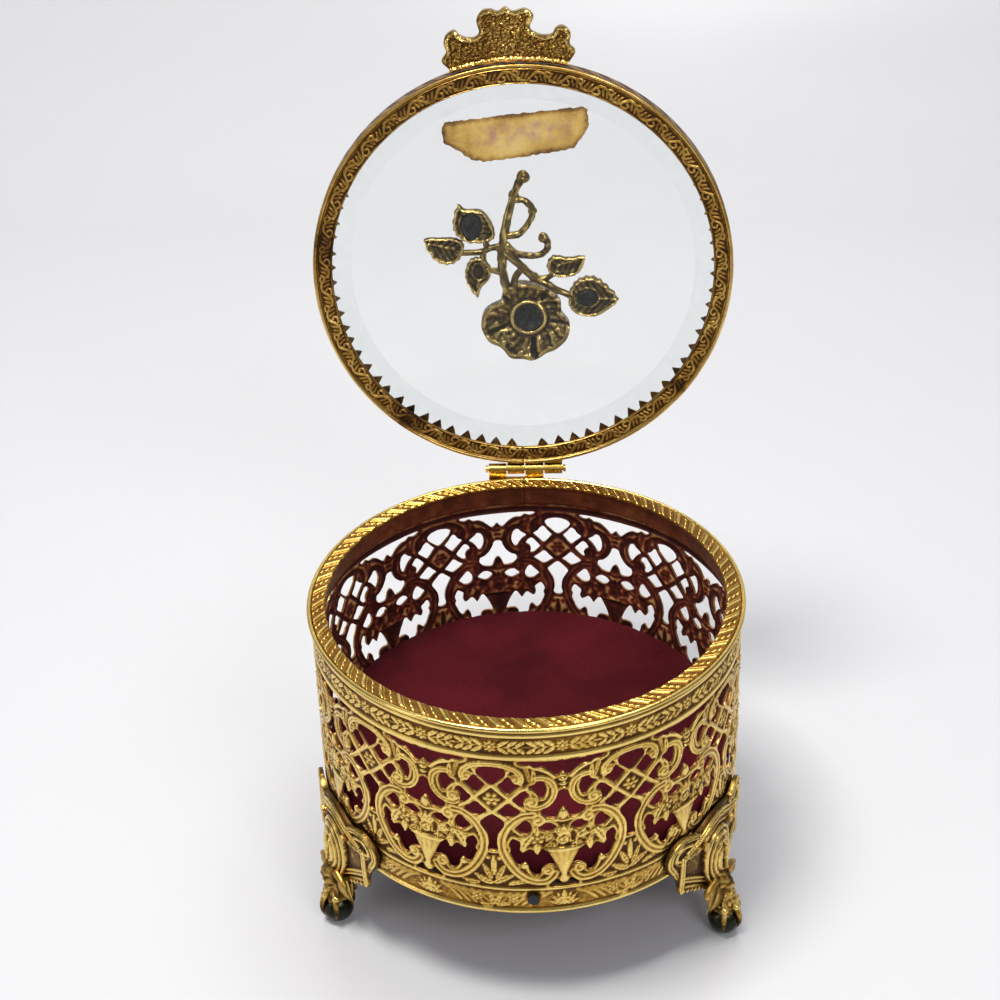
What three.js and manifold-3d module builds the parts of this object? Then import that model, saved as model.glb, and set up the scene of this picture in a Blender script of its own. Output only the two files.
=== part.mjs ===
// Round gilt-brass trinket casket: pierced filigree wall, rope-twist rim, hinged
// bevelled-glass lid with a rose spray, velvet floor and three claw-and-ball feet.
// Millimetres, +Z up, the feet stand on z = 0 and the front faces -Y.
// The lid is stored open. Azimuth is measured from the front (-Y) towards +X.
import * as THREE from "three";
import { mergeVertices } from "three/addons/utils/BufferGeometryUtils.js";
import Module from "manifold-3d";

const wasm = await Module();
wasm.setup();

// ---- driving dimensions ------------------------------------------------------
const Z_BASE = 28.8; // underside of the pierced wall above the table
const Z_RIM = 89.3; // top face of the rope rim
const WALL_R = 57.0; // outer radius of the wall
const WALL_T = 1.2; // wall thickness
const WALL_TOP = 87.9;
const REPEATS = 10; // repeats of the basket pattern round the wall
const BASKET_0 = 9.3; // azimuth of one basket centre, degrees
const RIM_R = 58.0; // outer radius of the rim bead
const RIM_IN = 52.9; // inner radius of the rim flange
const FLANGE_T = 1.1;
const LID_R = 58.0; // outer radius of the lid frame
const LID_IN = 52.7; // inner radius of the lid's underside flange
const LID_WALL_IN = 56.9;
const LID_H = 6.1; // lid frame height, prongs included
const LID_GAP = 0.35; // lid underside above the rim when it is shut
const HINGE_Y = 60.1;
const HINGE_Z = 91.0;
const LID_OPEN = 96.4; // degrees from shut to the stored pose
const KNUCKLE_R = 1.6;
const BORE_R = 0.76;
const PIN_R = 0.67;
const GLASS_R = 56.55;
const GLASS_Z0 = 1.4; // in the lid, above its underside
const GLASS_Z1 = 5.0;
const BEVEL_R = 47.7;
const SEAM = 0.5; // butt-joint slit in each bent ring
const FOOT_AZ = [-62.5, 57.5, 177.5]; // left, right, back
const FOOT_R = [60.3, 62.4, 61.3]; // radius of each ball's centre
const BALL_R = 4.3;
const BALL_Z = 4.15; // centre height, so the sole is a small flat
const TACK_AZ = [1.3, 121.3, -118.7];
const TACK_Z = 33.8;
const FLOOR_Z = 44.8; // top of the velvet pad

// ---- helpers -----------------------------------------------------------------
const rad = (d) => (d * Math.PI) / 180;

function solid(geometry) {
  const g = geometry.clone();
  g.deleteAttribute("normal");
  g.deleteAttribute("uv");
  const m = mergeVertices(g, 1e-4);
  let tri = new Uint32Array(m.index.array);
  const build = (t) =>
    new wasm.Manifold(
      new wasm.Mesh({
        numProp: 3,
        vertProperties: new Float32Array(m.attributes.position.array),
        triVerts: t,
      }),
    );
  let s = build(tri);
  if (s.volume() < 0) {
    tri = tri.slice();
    for (let i = 0; i < tri.length; i += 3)
      [tri[i + 1], tri[i + 2]] = [tri[i + 2], tri[i + 1]];
    s = build(tri);
  }
  return s;
}

function geometryOf(s) {
  const m = s.getMesh(),
    n = m.numProp,
    v = new Float32Array(m.numVert * 3);
  for (let i = 0; i < m.numVert; i++)
    v.set(m.vertProperties.subarray(i * n, i * n + 3), i * 3);
  const g = new THREE.BufferGeometry()
    .setAttribute("position", new THREE.BufferAttribute(v, 3))
    .setIndex(new THREE.BufferAttribute(new Uint32Array(m.triVerts), 1));
  g.computeVertexNormals();
  return g;
}

const union = (list) => list.reduce((a, b) => a.add(b));
const cut = (a, list) => list.reduce((x, y) => x.subtract(y), a);

// Closed [radius, z] profile turned about Z.
function turned(profile, n, start = 0) {
  const pts = [...profile, profile[0]].map(([r, z]) => new THREE.Vector2(r, z));
  return solid(
    new THREE.LatheGeometry(pts, n, rad(start)).rotateX(Math.PI / 2),
  );
}

// Profile that starts and ends on the axis, turned about Z.
function turnedSolid(profile, n) {
  const pts = profile.map(([r, z]) => new THREE.Vector2(r, z));
  return solid(new THREE.LatheGeometry(pts, n).rotateX(Math.PI / 2));
}

function extrudeXY(points, z0, z1) {
  const shape = new THREE.Shape(points.map(([x, y]) => new THREE.Vector2(x, y)));
  return new THREE.ExtrudeGeometry(shape, {
    depth: z1 - z0,
    bevelEnabled: false,
    steps: 1,
  }).translate(0, 0, z0);
}

// Polygon in (tangent, height) pushed outwards from radius r0 to r1 at an azimuth.
function radialPrism(points, az, r0, r1) {
  const a = rad(az);
  const g = extrudeXY(points, r0, r1);
  const m = new THREE.Matrix4().makeBasis(
    new THREE.Vector3(Math.cos(a), Math.sin(a), 0),
    new THREE.Vector3(0, 0, 1),
    new THREE.Vector3(Math.sin(a), -Math.cos(a), 0),
  );
  return solid(g.applyMatrix4(m));
}

// Annular sector plate between two radii, azimuths and heights.
function sector(r0, r1, az0, az1, z0, z1, n) {
  const pts = [];
  for (let i = 0; i <= n; i++) {
    const a = rad(az0 + ((az1 - az0) * i) / n);
    pts.push([r1 * Math.sin(a), -r1 * Math.cos(a)]);
  }
  for (let i = n; i >= 0; i--) {
    const a = rad(az0 + ((az1 - az0) * i) / n);
    pts.push([r0 * Math.sin(a), -r0 * Math.cos(a)]);
  }
  return solid(extrudeXY(pts, z0, z1));
}

function block(x0, x1, y0, y1, z0, z1) {
  return solid(
    new THREE.BoxGeometry(x1 - x0, y1 - y0, z1 - z0).translate(
      (x0 + x1) / 2,
      (y0 + y1) / 2,
      (z0 + z1) / 2,
    ),
  );
}

function rodX(x0, x1, y, z, r, n) {
  return solid(
    new THREE.CylinderGeometry(r, r, x1 - x0, n)
      .rotateZ(Math.PI / 2)
      .translate((x0 + x1) / 2, y, z),
  );
}

// Radial rod between two radii at an azimuth and height.
function rodRadial(az, r0, r1, z, rr, n) {
  const a = rad(az);
  return solid(
    new THREE.CylinderGeometry(rr, rr, r1 - r0, n)
      .translate(0, (r0 + r1) / 2, 0)
      .rotateZ(Math.PI + a)
      .translate(0, 0, z),
  );
}

function tube(points, r, n, steps) {
  const path = new THREE.CatmullRomCurve3(
    points.map(([x, y, z]) => new THREE.Vector3(x, y, z)),
    false,
    "centripetal",
  );
  const ring = [];
  for (let i = 0; i < n; i++) {
    const a = (2 * Math.PI * i) / n;
    ring.push(new THREE.Vector2(r * Math.cos(a), r * Math.sin(a)));
  }
  return solid(
    new THREE.ExtrudeGeometry(new THREE.Shape(ring), {
      steps,
      bevelEnabled: false,
      extrudePath: path,
    }),
  );
}

const mirror = (pts) => pts.map(([u, v]) => [-u, v]).reverse();

// ---- materials ---------------------------------------------------------------
const material = (color, roughness, metalness, more = {}) =>
  new THREE.MeshStandardMaterial({ color, roughness, metalness, ...more });
const gilt = () => material(0xc6a45a, 0.38, 1);
const giltDark = () => material(0x8a6a3a, 0.45, 1);
const bronze = () => material(0x6b5a34, 0.5, 1);

const box = new THREE.Group();
box.name = "box";
const lid = new THREE.Group();
lid.name = "lid";
function put(group, name, s, mat) {
  const mesh = new THREE.Mesh(geometryOf(s), mat);
  mesh.name = name;
  group.add(mesh);
  return mesh;
}

// ---- pierced wall --------------------------------------------------------------
// Openings of one repeat, millimetres along the arc from the basket's centre line
// and above the wall's underside. "half" ones are mirrored about that line; the
// trellis ones are drawn about the line midway between two baskets.
const onBasket = [
  [[-11.3, 49.7], [-8.6, 48.1], [-2, 45.4], [2, 45.4], [8.6, 48.1], [11.3, 49.7]],
  [[-1.5, 40.6], [-5.4, 34.8], [-4.4, 32.3], [4.4, 32.3], [5.4, 34.8], [1.5, 40.6]],
  [[-3.7, 8.6], [3.7, 8.6], [2.1, 10.4], [-2.1, 10.4]],
];
const onBasketHalf = [
  [[-8.4, 43.4], [-8.2, 41], [-6.1, 37.6], [-4.3, 40], [-5.4, 43.9]],
  [[-11.7, 28.4], [-10.2, 26.8], [-8.4, 28.6], [-9.4, 30.6]],
  [[-13.6, 23.8], [-12.6, 17.4], [-7.6, 12.8], [-2.5, 14.6], [-4.6, 20.6], [-9.4, 20.5], [-12.2, 24.6]],
];
const onTrellis = [
  [[-3.2, 46.2], [0, 42.5], [3.2, 46.2], [1.8, 47.7], [-1.8, 47.7]],
  [[0, 32.2], [-2.4, 29], [-0.9, 20.9], [0.9, 20.9], [2.4, 29]],
];
const onTrellisHalf = [
  [[-1.5, 42], [-3.7, 44.8], [-6.5, 42.4], [-4.2, 39.6]],
  [[-1.3, 33.8], [-3.8, 35.4], [-6.3, 33.8], [-4.2, 31.8]],
];
{
  const r0 = WALL_R - WALL_T;
  let wall = turned(
    [
      [r0, Z_BASE],
      [WALL_R + 0.6, Z_BASE],
      [WALL_R, Z_BASE + 1.4],
      [WALL_R, WALL_TOP],
      [r0, WALL_TOP],
    ],
    40,
  );
  const step = 360 / REPEATS;
  const holes = [];
  const addHole = (pts, az) => {
    const c = pts.reduce((s, p) => s + p[0], 0) / pts.length;
    const at = az + c / (rad(1) * WALL_R); // arc length to degrees
    holes.push(
      radialPrism(
        pts.map(([u, v]) => [u - c, v + Z_BASE]),
        at,
        WALL_R - 6,
        WALL_R + 4,
      ),
    );
  };
  for (let k = 0; k < REPEATS; k++) {
    const az = BASKET_0 + step * k;
    onBasket.forEach((p) => addHole(p, az));
    onBasketHalf.forEach((p) => (addHole(p, az), addHole(mirror(p), az)));
    onTrellis.forEach((p) => addHole(p, az + step / 2));
    onTrellisHalf.forEach(
      (p) => (addHole(p, az + step / 2), addHole(mirror(p), az + step / 2)),
    );
  }
  wall = cut(wall, holes);
  // back seam, beside the hinge
  wall = wall.subtract(
    sector(WALL_R - 6, WALL_R + 4, 176.0, 176.0 + 0.5, Z_BASE - 1, WALL_TOP + 1, 1),
  );
  for (const az of TACK_AZ)
    wall = wall.subtract(rodRadial(az, 50, 62, TACK_Z, 0.85, 6));
  FOOT_AZ.forEach((az) => {
    for (const d of [-6.5, 6.5])
      wall = wall.subtract(rodRadial(az + d, 50, 62, 33.4, 0.95, 6));
  });
  put(box, "wall_band", wall, gilt());
}

// ---- rope rim: flange with an inner skirt, bent round and butted at the back -----
{
  let rim = turned(
    [
      [RIM_IN, Z_RIM - FLANGE_T],
      [54.2, Z_RIM - FLANGE_T],
      [54.2, Z_RIM - 7],
      [55.3, Z_RIM - 7],
      [55.3, Z_RIM - FLANGE_T],
      [RIM_R - 0.3, Z_RIM - FLANGE_T],
      [RIM_R, Z_RIM - 0.55],
      [RIM_R - 0.3, Z_RIM],
      [RIM_IN, Z_RIM],
    ],
    48,
  );
  rim = rim.subtract(block(-1.2, -1.2 + SEAM, 48, 62, Z_RIM - 9, Z_RIM + 2));
  put(box, "rim_ring", rim, gilt());
}

// ---- floor ------------------------------------------------------------------------
{
  let board = turnedSolid(
    [
      [0, 30.9],
      [55.3, 30.9],
      [55.3, 37.0],
      [0, 37.0],
    ],
    48,
  );
  for (const az of TACK_AZ)
    board = board.subtract(rodRadial(az, 50.5, 60, TACK_Z, 0.85, 6));
  put(box, "base_board", board, material(0x6d5a44, 0.9, 0));
  put(
    box,
    "floor_pad",
    turnedSolid(
      [
        [0, 37.3],
        [54.9, 37.3],
        [55.3, 38.2],
        [55.3, FLOOR_Z - 1.6],
        [54.6, FLOOR_Z - 0.5],
        [53.4, FLOOR_Z],
        [0, FLOOR_Z],
      ],
      48,
    ),
    material(0x551020, 0.95, 0),
  );
  put(
    box,
    "under_cover",
    turnedSolid(
      [
        [0, 29.6],
        [54.6, 29.6],
        [55.0, 30.0],
        [55.0, 30.6],
        [0, 30.6],
      ],
      48,
    ),
    material(0x5c1524, 0.95, 0),
  );
}

// ---- tacks that hold the board ------------------------------------------------------
TACK_AZ.forEach((az, i) => {
  const r = WALL_R;
  const s = union([
    rodRadial(az, r + 0.35, r + 0.9, TACK_Z, 1.65, 10),
    rodRadial(az, 51, r + 0.5, TACK_Z, 0.5, 6),
  ]);
  put(box, "base_tack_" + (i + 1), s, material(0x3c4046, 0.4, 0.9));
});

// ---- claw-and-ball feet ----------------------------------------------------------------
// Drawn at azimuth 0 and turned into place: u is along the wall, r outwards.
function foot(ballR) {
  const plate = [
    [-17, 37.6], [-19.4, 35.2], [-19.6, 31.4], [-15.5, 26.2], [-11.8, 21.6],
    [-8.6, 23.4], [-5.2, 20.2], [0, 18.6], [5.2, 20.2], [8.6, 23.4],
    [11.8, 21.6], [15.5, 26.2], [19.6, 31.4], [19.4, 35.2], [17, 37.6],
    [11, 38.0], [6, 40.8], [0, 42.4], [-6, 40.8], [-11, 38.0],
  ];
  // the plate follows the wall: thick curved sector trimmed to the outline
  const shell = sector(WALL_R + 0.95, WALL_R + 2.5, -22, 22, 16, 44, 8);
  let body = shell.intersect(
    solid(
      extrudeXY(plate, 40, 70).applyMatrix4(
        new THREE.Matrix4().makeBasis(
          new THREE.Vector3(1, 0, 0),
          new THREE.Vector3(0, 0, 1),
          new THREE.Vector3(0, -1, 0),
        ),
      ),
    ),
  );
  // windows between the side bars and the shell
  for (const s of [-1, 1])
    body = body.subtract(
      radialPrism(
        [[s * 8.2, 27.2], [s * 10.6, 26.8], [s * 11.6, 30.6], [s * 8.6, 31.2]],
        0,
        50,
        70,
      ),
    );
  // shell-shaped knee, leg, claws and ball
  const knee = solid(
    new THREE.SphereGeometry(1, 8, 6)
      .scale(4.6, 2.9, 8.6)
      .translate(0, -(WALL_R + 2.6), 30.5),
  );
  const leg = tube(
    [
      [0, -(WALL_R + 2.9), 30],
      [0, -(WALL_R + 3.6), 22],
      [0, -(ballR - 0.6), 14],
      [0, -(ballR - 0.2), 6],
    ],
    3.0,
    8,
    4,
  );
  const ball = solid(
    new THREE.SphereGeometry(BALL_R, 12, 8)
      .rotateX(Math.PI / 2)
      .translate(0, -ballR, BALL_Z),
  );
  const claws = [-70, 0, 70, 180].map((a) => {
    const c = Math.sin(rad(a)),
      d = Math.cos(rad(a));
    return tube(
      [
        [c * 1.6, -(ballR + d * 1.6 - 0.3), 13.5],
        [c * 3.9, -(ballR + d * 3.9), 9.0],
        [c * 4.7, -(ballR + d * 4.7), 5.4],
        [c * 4.3, -(ballR + d * 4.3), 2.4],
      ],
      0.95,
      4,
      3,
    );
  });
  // inner drip leaf of the collar
  const leaf = tube(
    [
      [0, -(ballR - 3.4), 18],
      [0, -(ballR - 5.0), 12.5],
      [0, -(ballR - 5.6), 8.6],
    ],
    1.5,
    6,
    3,
  );
  body = union([body, knee, leg, ball, leaf, ...claws]);
  // everything above the wall's underside stays clear of the wall
  body = body.subtract(
    sector(46, WALL_R + 0.95, -30, 30, Z_BASE - 0.35, 60, 14),
  );
  // sole flat on the table
  body = body.intersect(block(-40, 40, -90, -30, 0, 60));
  // rivet holes
  for (const d of [-6.5, 6.5])
    body = body.subtract(rodRadial(d, 50, 66, 33.4, 0.95, 6));
  return body;
}
const footNames = ["foot_left", "foot_right", "foot_back"];
FOOT_AZ.forEach((az, i) => {
  const s = foot(FOOT_R[i]);
  const g = geometryOf(s).rotateZ(rad(az));
  const mesh = new THREE.Mesh(g, material(0x7d6a3f, 0.42, 1));
  mesh.name = footNames[i];
  box.add(mesh);
  [-6.5, 6.5].forEach((d, j) => {
    const r = WALL_R + 2.5;
    const rivet = union([
      rodRadial(az + d, r + 0.3, r + 0.95, 33.4, 1.35, 8),
      rodRadial(az + d, WALL_R - WALL_T + 0.1, r + 0.6, 33.4, 0.65, 6),
    ]);
    put(box, footNames[i] + "_rivet_" + (j + 1), rivet, gilt());
  });
});

// ---- hinge: box leaf, lid leaf and pin ---------------------------------------------------
const K = [
  [-11.0, -5.95],
  [-5.65, -0.75],
  [-0.45, 4.75],
  [5.05, 10.2],
];
const bore = () => rodX(-14, 14, HINGE_Y, HINGE_Z, BORE_R, 24);
{
  let leaf = union([
    sector(WALL_R + 0.3, WALL_R + 1.2, 169.0, 191.0, 79.5, 87.6, 6),
    block(-11.0, 4.75, 57.5, HINGE_Y - 0.75, 84.5, 87.6),
    block(-11.0, 4.75, RIM_R + 0.32, HINGE_Y - 0.75, 87.0, HINGE_Z - 0.2),
    rodX(K[0][0], K[0][1], HINGE_Y, HINGE_Z, KNUCKLE_R, 24),
    rodX(K[2][0], K[2][1], HINGE_Y, HINGE_Z, KNUCKLE_R, 24),
  ]);
  leaf = cut(leaf, [
    bore(),
    block(K[0][1], K[2][0], 56, 63, HINGE_Z - 2.2, HINGE_Z + 4),
  ]);
  put(box, "hinge_leaf_box", leaf, gilt());
  const pin = union([
    rodX(-11.5, 10.7, HINGE_Y, HINGE_Z, PIN_R, 24),
    rodX(-12.0, -11.3, HINGE_Y, HINGE_Z, 1.05, 14),
    rodX(10.5, 11.2, HINGE_Y, HINGE_Z, 1.05, 14),
  ]);
  put(box, "hinge_pin", pin, material(0x9a8453, 0.4, 1));
}

// ================================ LID =======================================================
// Built shut, its underside at LID_Z, then turned about the hinge axis to the
// stored pose. Points on the lid are (u, w): u along X, w from the centre away
// from the hinge.
const LID_Z = Z_RIM + LID_GAP;
const lidPoint = (u, w, z = 0) => [u, -w, LID_Z + z];
const flip = (pts) => pts.map(([u, w]) => [u, -w]);
{
  const z = (h) => LID_Z + h;
  let leaf = union([
    sector(LID_R + 0.32, LID_R + 1.2, 170.0, 185.4, HINGE_Z + 0.6, z(5.6), 5),
    rodX(K[1][0], K[1][1], HINGE_Y, HINGE_Z, KNUCKLE_R, 24),
    rodX(K[3][0], K[3][1], HINGE_Y, HINGE_Z, KNUCKLE_R, 24),
    block(K[1][0], K[3][1], LID_R + 0.36, HINGE_Y - 0.75, HINGE_Z + 0.2, z(5.2)),
  ]);
  leaf = cut(leaf, [
    bore(),
    block(K[1][1], K[3][0], 56, 63, HINGE_Z - 4, HINGE_Z + 2.2),
    // the curved leaf stays outside the frame's wall
    turned([[30, LID_Z - 2], [LID_R + 0.3, LID_Z - 2], [LID_R + 0.3, LID_Z + 9], [30, LID_Z + 9]], 80),
  ]);
  put(lid, "hinge_leaf_lid", leaf, gilt());

  // frame: underside flange, outer wall, prongs folded over the glass
  let frame = turned(
    [
      [LID_IN, z(0)],
      [LID_R - 0.4, z(0)],
      [LID_R, z(0.4)],
      [LID_R, z(LID_H)],
      [LID_WALL_IN, z(LID_H)],
      [LID_WALL_IN, z(FLANGE_T)],
      [LID_IN, z(FLANGE_T)],
    ],
    48,
  );
  const PRONGS = 74,
    pitch = 4.8;
  const prongs = [];
  for (let k = 0; k < PRONGS; k++) {
    const az = 180 + 4.4 + pitch * k;
    const a = rad(az),
      c = Math.sin(a),
      s = -Math.cos(a);
    const tan = [Math.cos(a), Math.sin(a)];
    const r1 = LID_WALL_IN + 0.5,
      r2 = 53.3;
    prongs.push(
      solid(
        extrudeXY(
          [
            [r1 * c - 1.35 * tan[0], r1 * s - 1.35 * tan[1]],
            [r1 * c + 1.35 * tan[0], r1 * s + 1.35 * tan[1]],
            [r2 * c, r2 * s],
          ],
          z(GLASS_Z1 + 0.3),
          z(LID_H - 0.05),
        ),
      ),
    );
  }
  frame = union([frame, ...prongs]);
  frame = frame.subtract(block(-0.9, -0.9 + SEAM, 48, 62, LID_Z - 2, LID_Z + 9));
  put(lid, "lid_frame", frame, gilt());

  put(
    lid,
    "glass_disc",
    turnedSolid(
      [
        [0, z(GLASS_Z0)],
        [GLASS_R, z(GLASS_Z0)],
        [GLASS_R, z(GLASS_Z0 + 2.0)],
        [BEVEL_R, z(GLASS_Z1)],
        [0, z(GLASS_Z1)],
      ],
      48,
    ),
    material(0xe8efec, 0.05, 0, { transparent: true, opacity: 0.25 }),
  );

  // paper label on the glass's underside, left blank
  put(
    lid,
    "paper_label",
    solid(
      extrudeXY(
        flip([
          [-20.9, 41.5], [-20.0, 42.8], [16.8, 46.5], [18.1, 45.6], [18.4, 41.2],
          [14.6, 35.2], [-9.5, 31.9], [-13.0, 32.6], [-17.5, 35.5], [-20.6, 37.4],
        ].map(([u, w]) => [u, w - 0.4])),
        z(1.0),
        z(1.22),
      ),
    ),
    material(0xc8a350, 0.9, 0),
  );

  // crown-shaped thumb lift
  const tab = [
    [-18.4, 56.6], [-20.3, 58.8], [-19.0, 61.2], [-19.6, 63.3], [-19.0, 65.6],
    [-16.8, 66.9], [-15.0, 65.3], [-12.0, 64.8], [-10.2, 66.2], [-10.8, 69.4],
    [-9.4, 71.8], [-7.0, 72.2], [-5.2, 71.6], [-3.2, 72.7], [-1.2, 71.6],
    [2.0, 72.2], [4.2, 70.4], [3.2, 67.2], [5.6, 65.4], [8.8, 65.4],
    [10.0, 67.1], [12.0, 67.6], [13.9, 65.6], [13.6, 62.8], [15.1, 60.8],
    [13.2, 57.6],
  ];
  const arc = [];
  for (let i = 0; i <= 8; i++) {
    const u = 13.0 + ((-18.2 - 13.0) * i) / 8;
    arc.push([u, Math.sqrt(58.35 ** 2 - u * u)]);
  }
  let tabSolid = solid(extrudeXY(flip([...tab, ...arc]), z(1.2), z(3.4)));
  tabSolid = tabSolid.subtract(
    turned([[30, z(-1)], [LID_R + 0.3, z(-1)], [LID_R + 0.3, z(8)], [30, z(8)]], 80),
  );
  put(lid, "thumb_tab", tabSolid, giltDark());

  // ---- rose spray, cast in one piece and cemented to the glass --------------------
  const DROP = 1.9;
  const zs = z(GLASS_Z1 + 0.3);
  const stem = (pts, r, steps = 8) =>
    tube(pts.map(([u, w]) => [u, -(w - DROP), zs + r]), r, 5, Math.ceil(steps * 0.7));
  const leafPlate = (pts, h = 1.5) =>
    solid(extrudeXY(flip(pts.map(([u, w]) => [u, w - DROP])), zs, zs + h));
  const bloom = [
    [-5.5, -4.6], [-1, -3.3], [4, -3.6], [8, -6], [10.3, -8.6], [10.6, -12],
    [12.8, -15.5], [12, -19.5], [9, -22.5], [6, -23.8], [3, -26], [-0.5, -25.4],
    [-4, -25], [-6.5, -22], [-10, -20], [-12, -16], [-11.5, -12], [-9.5, -9.8],
    [-6, -8],
  ];
  let spray = union([
    stem([[0.3, 27.6], [-1.6, 24], [-3.2, 19], [-4.4, 14], [-5.4, 9], [-5.8, 4], [-5.7, 0], [-4.4, -5.5]], 1.35, 10),
    stem([[-1.8, 21.3], [0.6, 21], [2.5, 19.2], [2.9, 17.2], [2, 14.8], [0.2, 12.4], [-1.4, 11.2], [-4.4, 11]], 1.0, 12),
    stem([[-4.6, 8.2], [-1.8, 5.8], [1.5, 5.1], [4.6, 5.2], [6.6, 6.6], [7, 8.6], [5.8, 10.3]], 1.0, 10),
    stem([[-5.0, 6.5], [0, 1.5], [3.2, -1.4], [6.5, -3.2], [9, -4.9], [14.5, -7.5]], 1.15, 9),
    stem([[2.8, -1.2], [6, -1.7], [9.8, 0.2]], 0.95, 4),
    stem([[-5.3, 8], [-9, 7.4], [-12, 6.3], [-18.5, 6.2]], 0.95, 6),
    stem([[-9.8, 7.4], [-10.6, 11]], 0.95, 2),
    stem([[-11, 6.6], [-11, 3]], 0.95, 2),
    stem([[-10.2, 1.2], [-6, 0.4]], 0.95, 2),
    stem([[-0.2, 1.6], [-2.4, -1.8], [-2.6, -5.6]], 0.95, 4),
    leafPlate([[-27, 10], [-24.8, 4.8], [-21, 3], [-17.6, 4.6], [-16.4, 8.4], [-18.6, 10.2], [-22.5, 10.4]]),
    leafPlate([[-17.4, 19.8], [-18.9, 15], [-18, 11.4], [-14.4, 9.2], [-9, 9.8], [-7.8, 11.6], [-8.8, 15], [-11.4, 18], [-15.5, 18.5]], 1.9),
    leafPlate([[-13, -6.7], [-15.6, -2.6], [-16, 0.8], [-14.4, 4], [-11.4, 4.4], [-9.2, 1.8], [-9.4, -1.2], [-11.8, -4]]),
    leafPlate([[17, 4.4], [12.8, 4.2], [8.4, 4.6], [6.8, 1.8], [8.6, -0.8], [12.6, -1.2], [15.8, 0.4]]),
    leafPlate([[26.2, -8.2], [23.2, -4.4], [19.6, -2], [15.6, -2.6], [13.2, -5.6], [12.9, -9.6], [15.2, -12.2], [19.8, -13], [23.6, -11]], 1.9),
    leafPlate(bloom, 3.0),
    solid(
      new THREE.SphereGeometry(1, 12, 8)
        .rotateX(Math.PI / 2)
        .scale(6.6, 6.6, 5.6),
    ).intersect(block(-9, 9, -9, 9, 0, 9)).translate([1.3, 13.2 + DROP, zs + 0.6]),
  ]);
  const pocket = (u, w, rx, ry, h) =>
    solid(
      new THREE.CylinderGeometry(1, 1, 1, 12)
        .rotateX(Math.PI / 2)
        .scale(rx, ry, h)
        .translate(u, -(w - DROP), zs + h / 2 - 0.2),
    );
  const dabs = [
    ["cement_bloom", 1.3, -13.2, 4.2, 4.2, 2.9],
    ["cement_leaf_left", -14.0, 14.0, 2.4, 3.3, 1.0],
    ["cement_leaf_right", 17.6, -8.0, 2.6, 2.0, 1.0],
  ];
  for (const [, u, w, rx, ry, h] of dabs)
    spray = spray.subtract(pocket(u, w, rx, ry, h));
  put(lid, "rose_spray", spray, bronze());
  for (const [name, u, w, rx, ry, h] of dabs)
    put(
      lid,
      name,
      pocket(u, w, rx - 0.25, ry - 0.25, h - 0.4).translate([0, 0, 0.05]),
      material(0x77766c, 0.85, 0),
    );
}

// ---- assembly ---------------------------------------------------------------------------------
const swing = new THREE.Group();
swing.name = "lid_swing";
lid.position.set(0, -HINGE_Y, -HINGE_Z);
swing.add(lid);
swing.position.set(0, HINGE_Y, HINGE_Z);
swing.rotation.x = -rad(LID_OPEN);

const root = new THREE.Group();
root.name = "trinket_box";
root.add(box, swing);
// the origin sits under the middle of the stored pose's bounding box
root.updateMatrixWorld(true);
const bounds = new THREE.Box3().setFromObject(root, true);
root.position.set(
  -(bounds.min.x + bounds.max.x) / 2,
  -(bounds.min.y + bounds.max.y) / 2,
  0,
);
root.updateMatrixWorld(true);

export default root;
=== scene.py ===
# Vanity trinket box: the looks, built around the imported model.
# Model coordinates here are millimetres with the wall's axis at x = y = 0; SHIFT carries
# them into the row frame. Azimuth is measured from the front (-Y) towards +X.
import math

import bpy
import numpy as np
from mathutils import Matrix, Vector

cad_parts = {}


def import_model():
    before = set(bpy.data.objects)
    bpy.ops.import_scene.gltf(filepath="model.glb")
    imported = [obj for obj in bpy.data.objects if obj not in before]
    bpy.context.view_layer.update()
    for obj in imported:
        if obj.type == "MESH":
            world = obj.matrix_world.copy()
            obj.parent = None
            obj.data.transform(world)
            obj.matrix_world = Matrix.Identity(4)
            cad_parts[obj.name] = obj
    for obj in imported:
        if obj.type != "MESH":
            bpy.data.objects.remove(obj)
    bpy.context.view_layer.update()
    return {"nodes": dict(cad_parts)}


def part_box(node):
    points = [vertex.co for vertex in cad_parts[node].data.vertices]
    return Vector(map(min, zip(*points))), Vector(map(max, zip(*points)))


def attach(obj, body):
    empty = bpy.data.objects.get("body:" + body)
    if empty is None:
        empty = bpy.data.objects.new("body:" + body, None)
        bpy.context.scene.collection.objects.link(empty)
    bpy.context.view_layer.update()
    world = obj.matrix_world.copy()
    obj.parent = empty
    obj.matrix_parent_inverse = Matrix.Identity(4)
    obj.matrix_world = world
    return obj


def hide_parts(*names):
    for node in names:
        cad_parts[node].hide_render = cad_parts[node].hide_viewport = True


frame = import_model()
rad = math.radians

# ---- frame -----------------------------------------------------------------------------
_lo, _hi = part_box("hinge_pin")
SHIFT = np.array([(_lo.x + _hi.x) * 500 + 0.4, (_lo.y + _hi.y) * 500 - 60.1, 0.0])
Z_BASE, Z_RIM, WALL_R, WALL_TOP = 28.8, 89.3, 57.0, 87.9
BASKET_0, REPEATS = 9.3, 10
HINGE_Y, HINGE_Z, LID_OPEN, LID_Z = 60.1, 91.0, 96.4, 89.65
FOOT_AZ, FOOT_R = [-62.5, 57.5, 177.5], [60.3, 62.4, 61.3]
BALL_R, BALL_Z = 4.3, 4.15
TACK_AZ, TACK_Z = [1.3, 121.3, -118.7], 33.8


def world(P):
    return (np.asarray(P, float) + SHIFT) / 1000.0


def ring(az, r, z):
    """Point at an azimuth in degrees, radius and height."""
    a = np.radians(az)
    return np.stack(np.broadcast_arrays(r * np.sin(a), -r * np.cos(a), z), -1)


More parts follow.
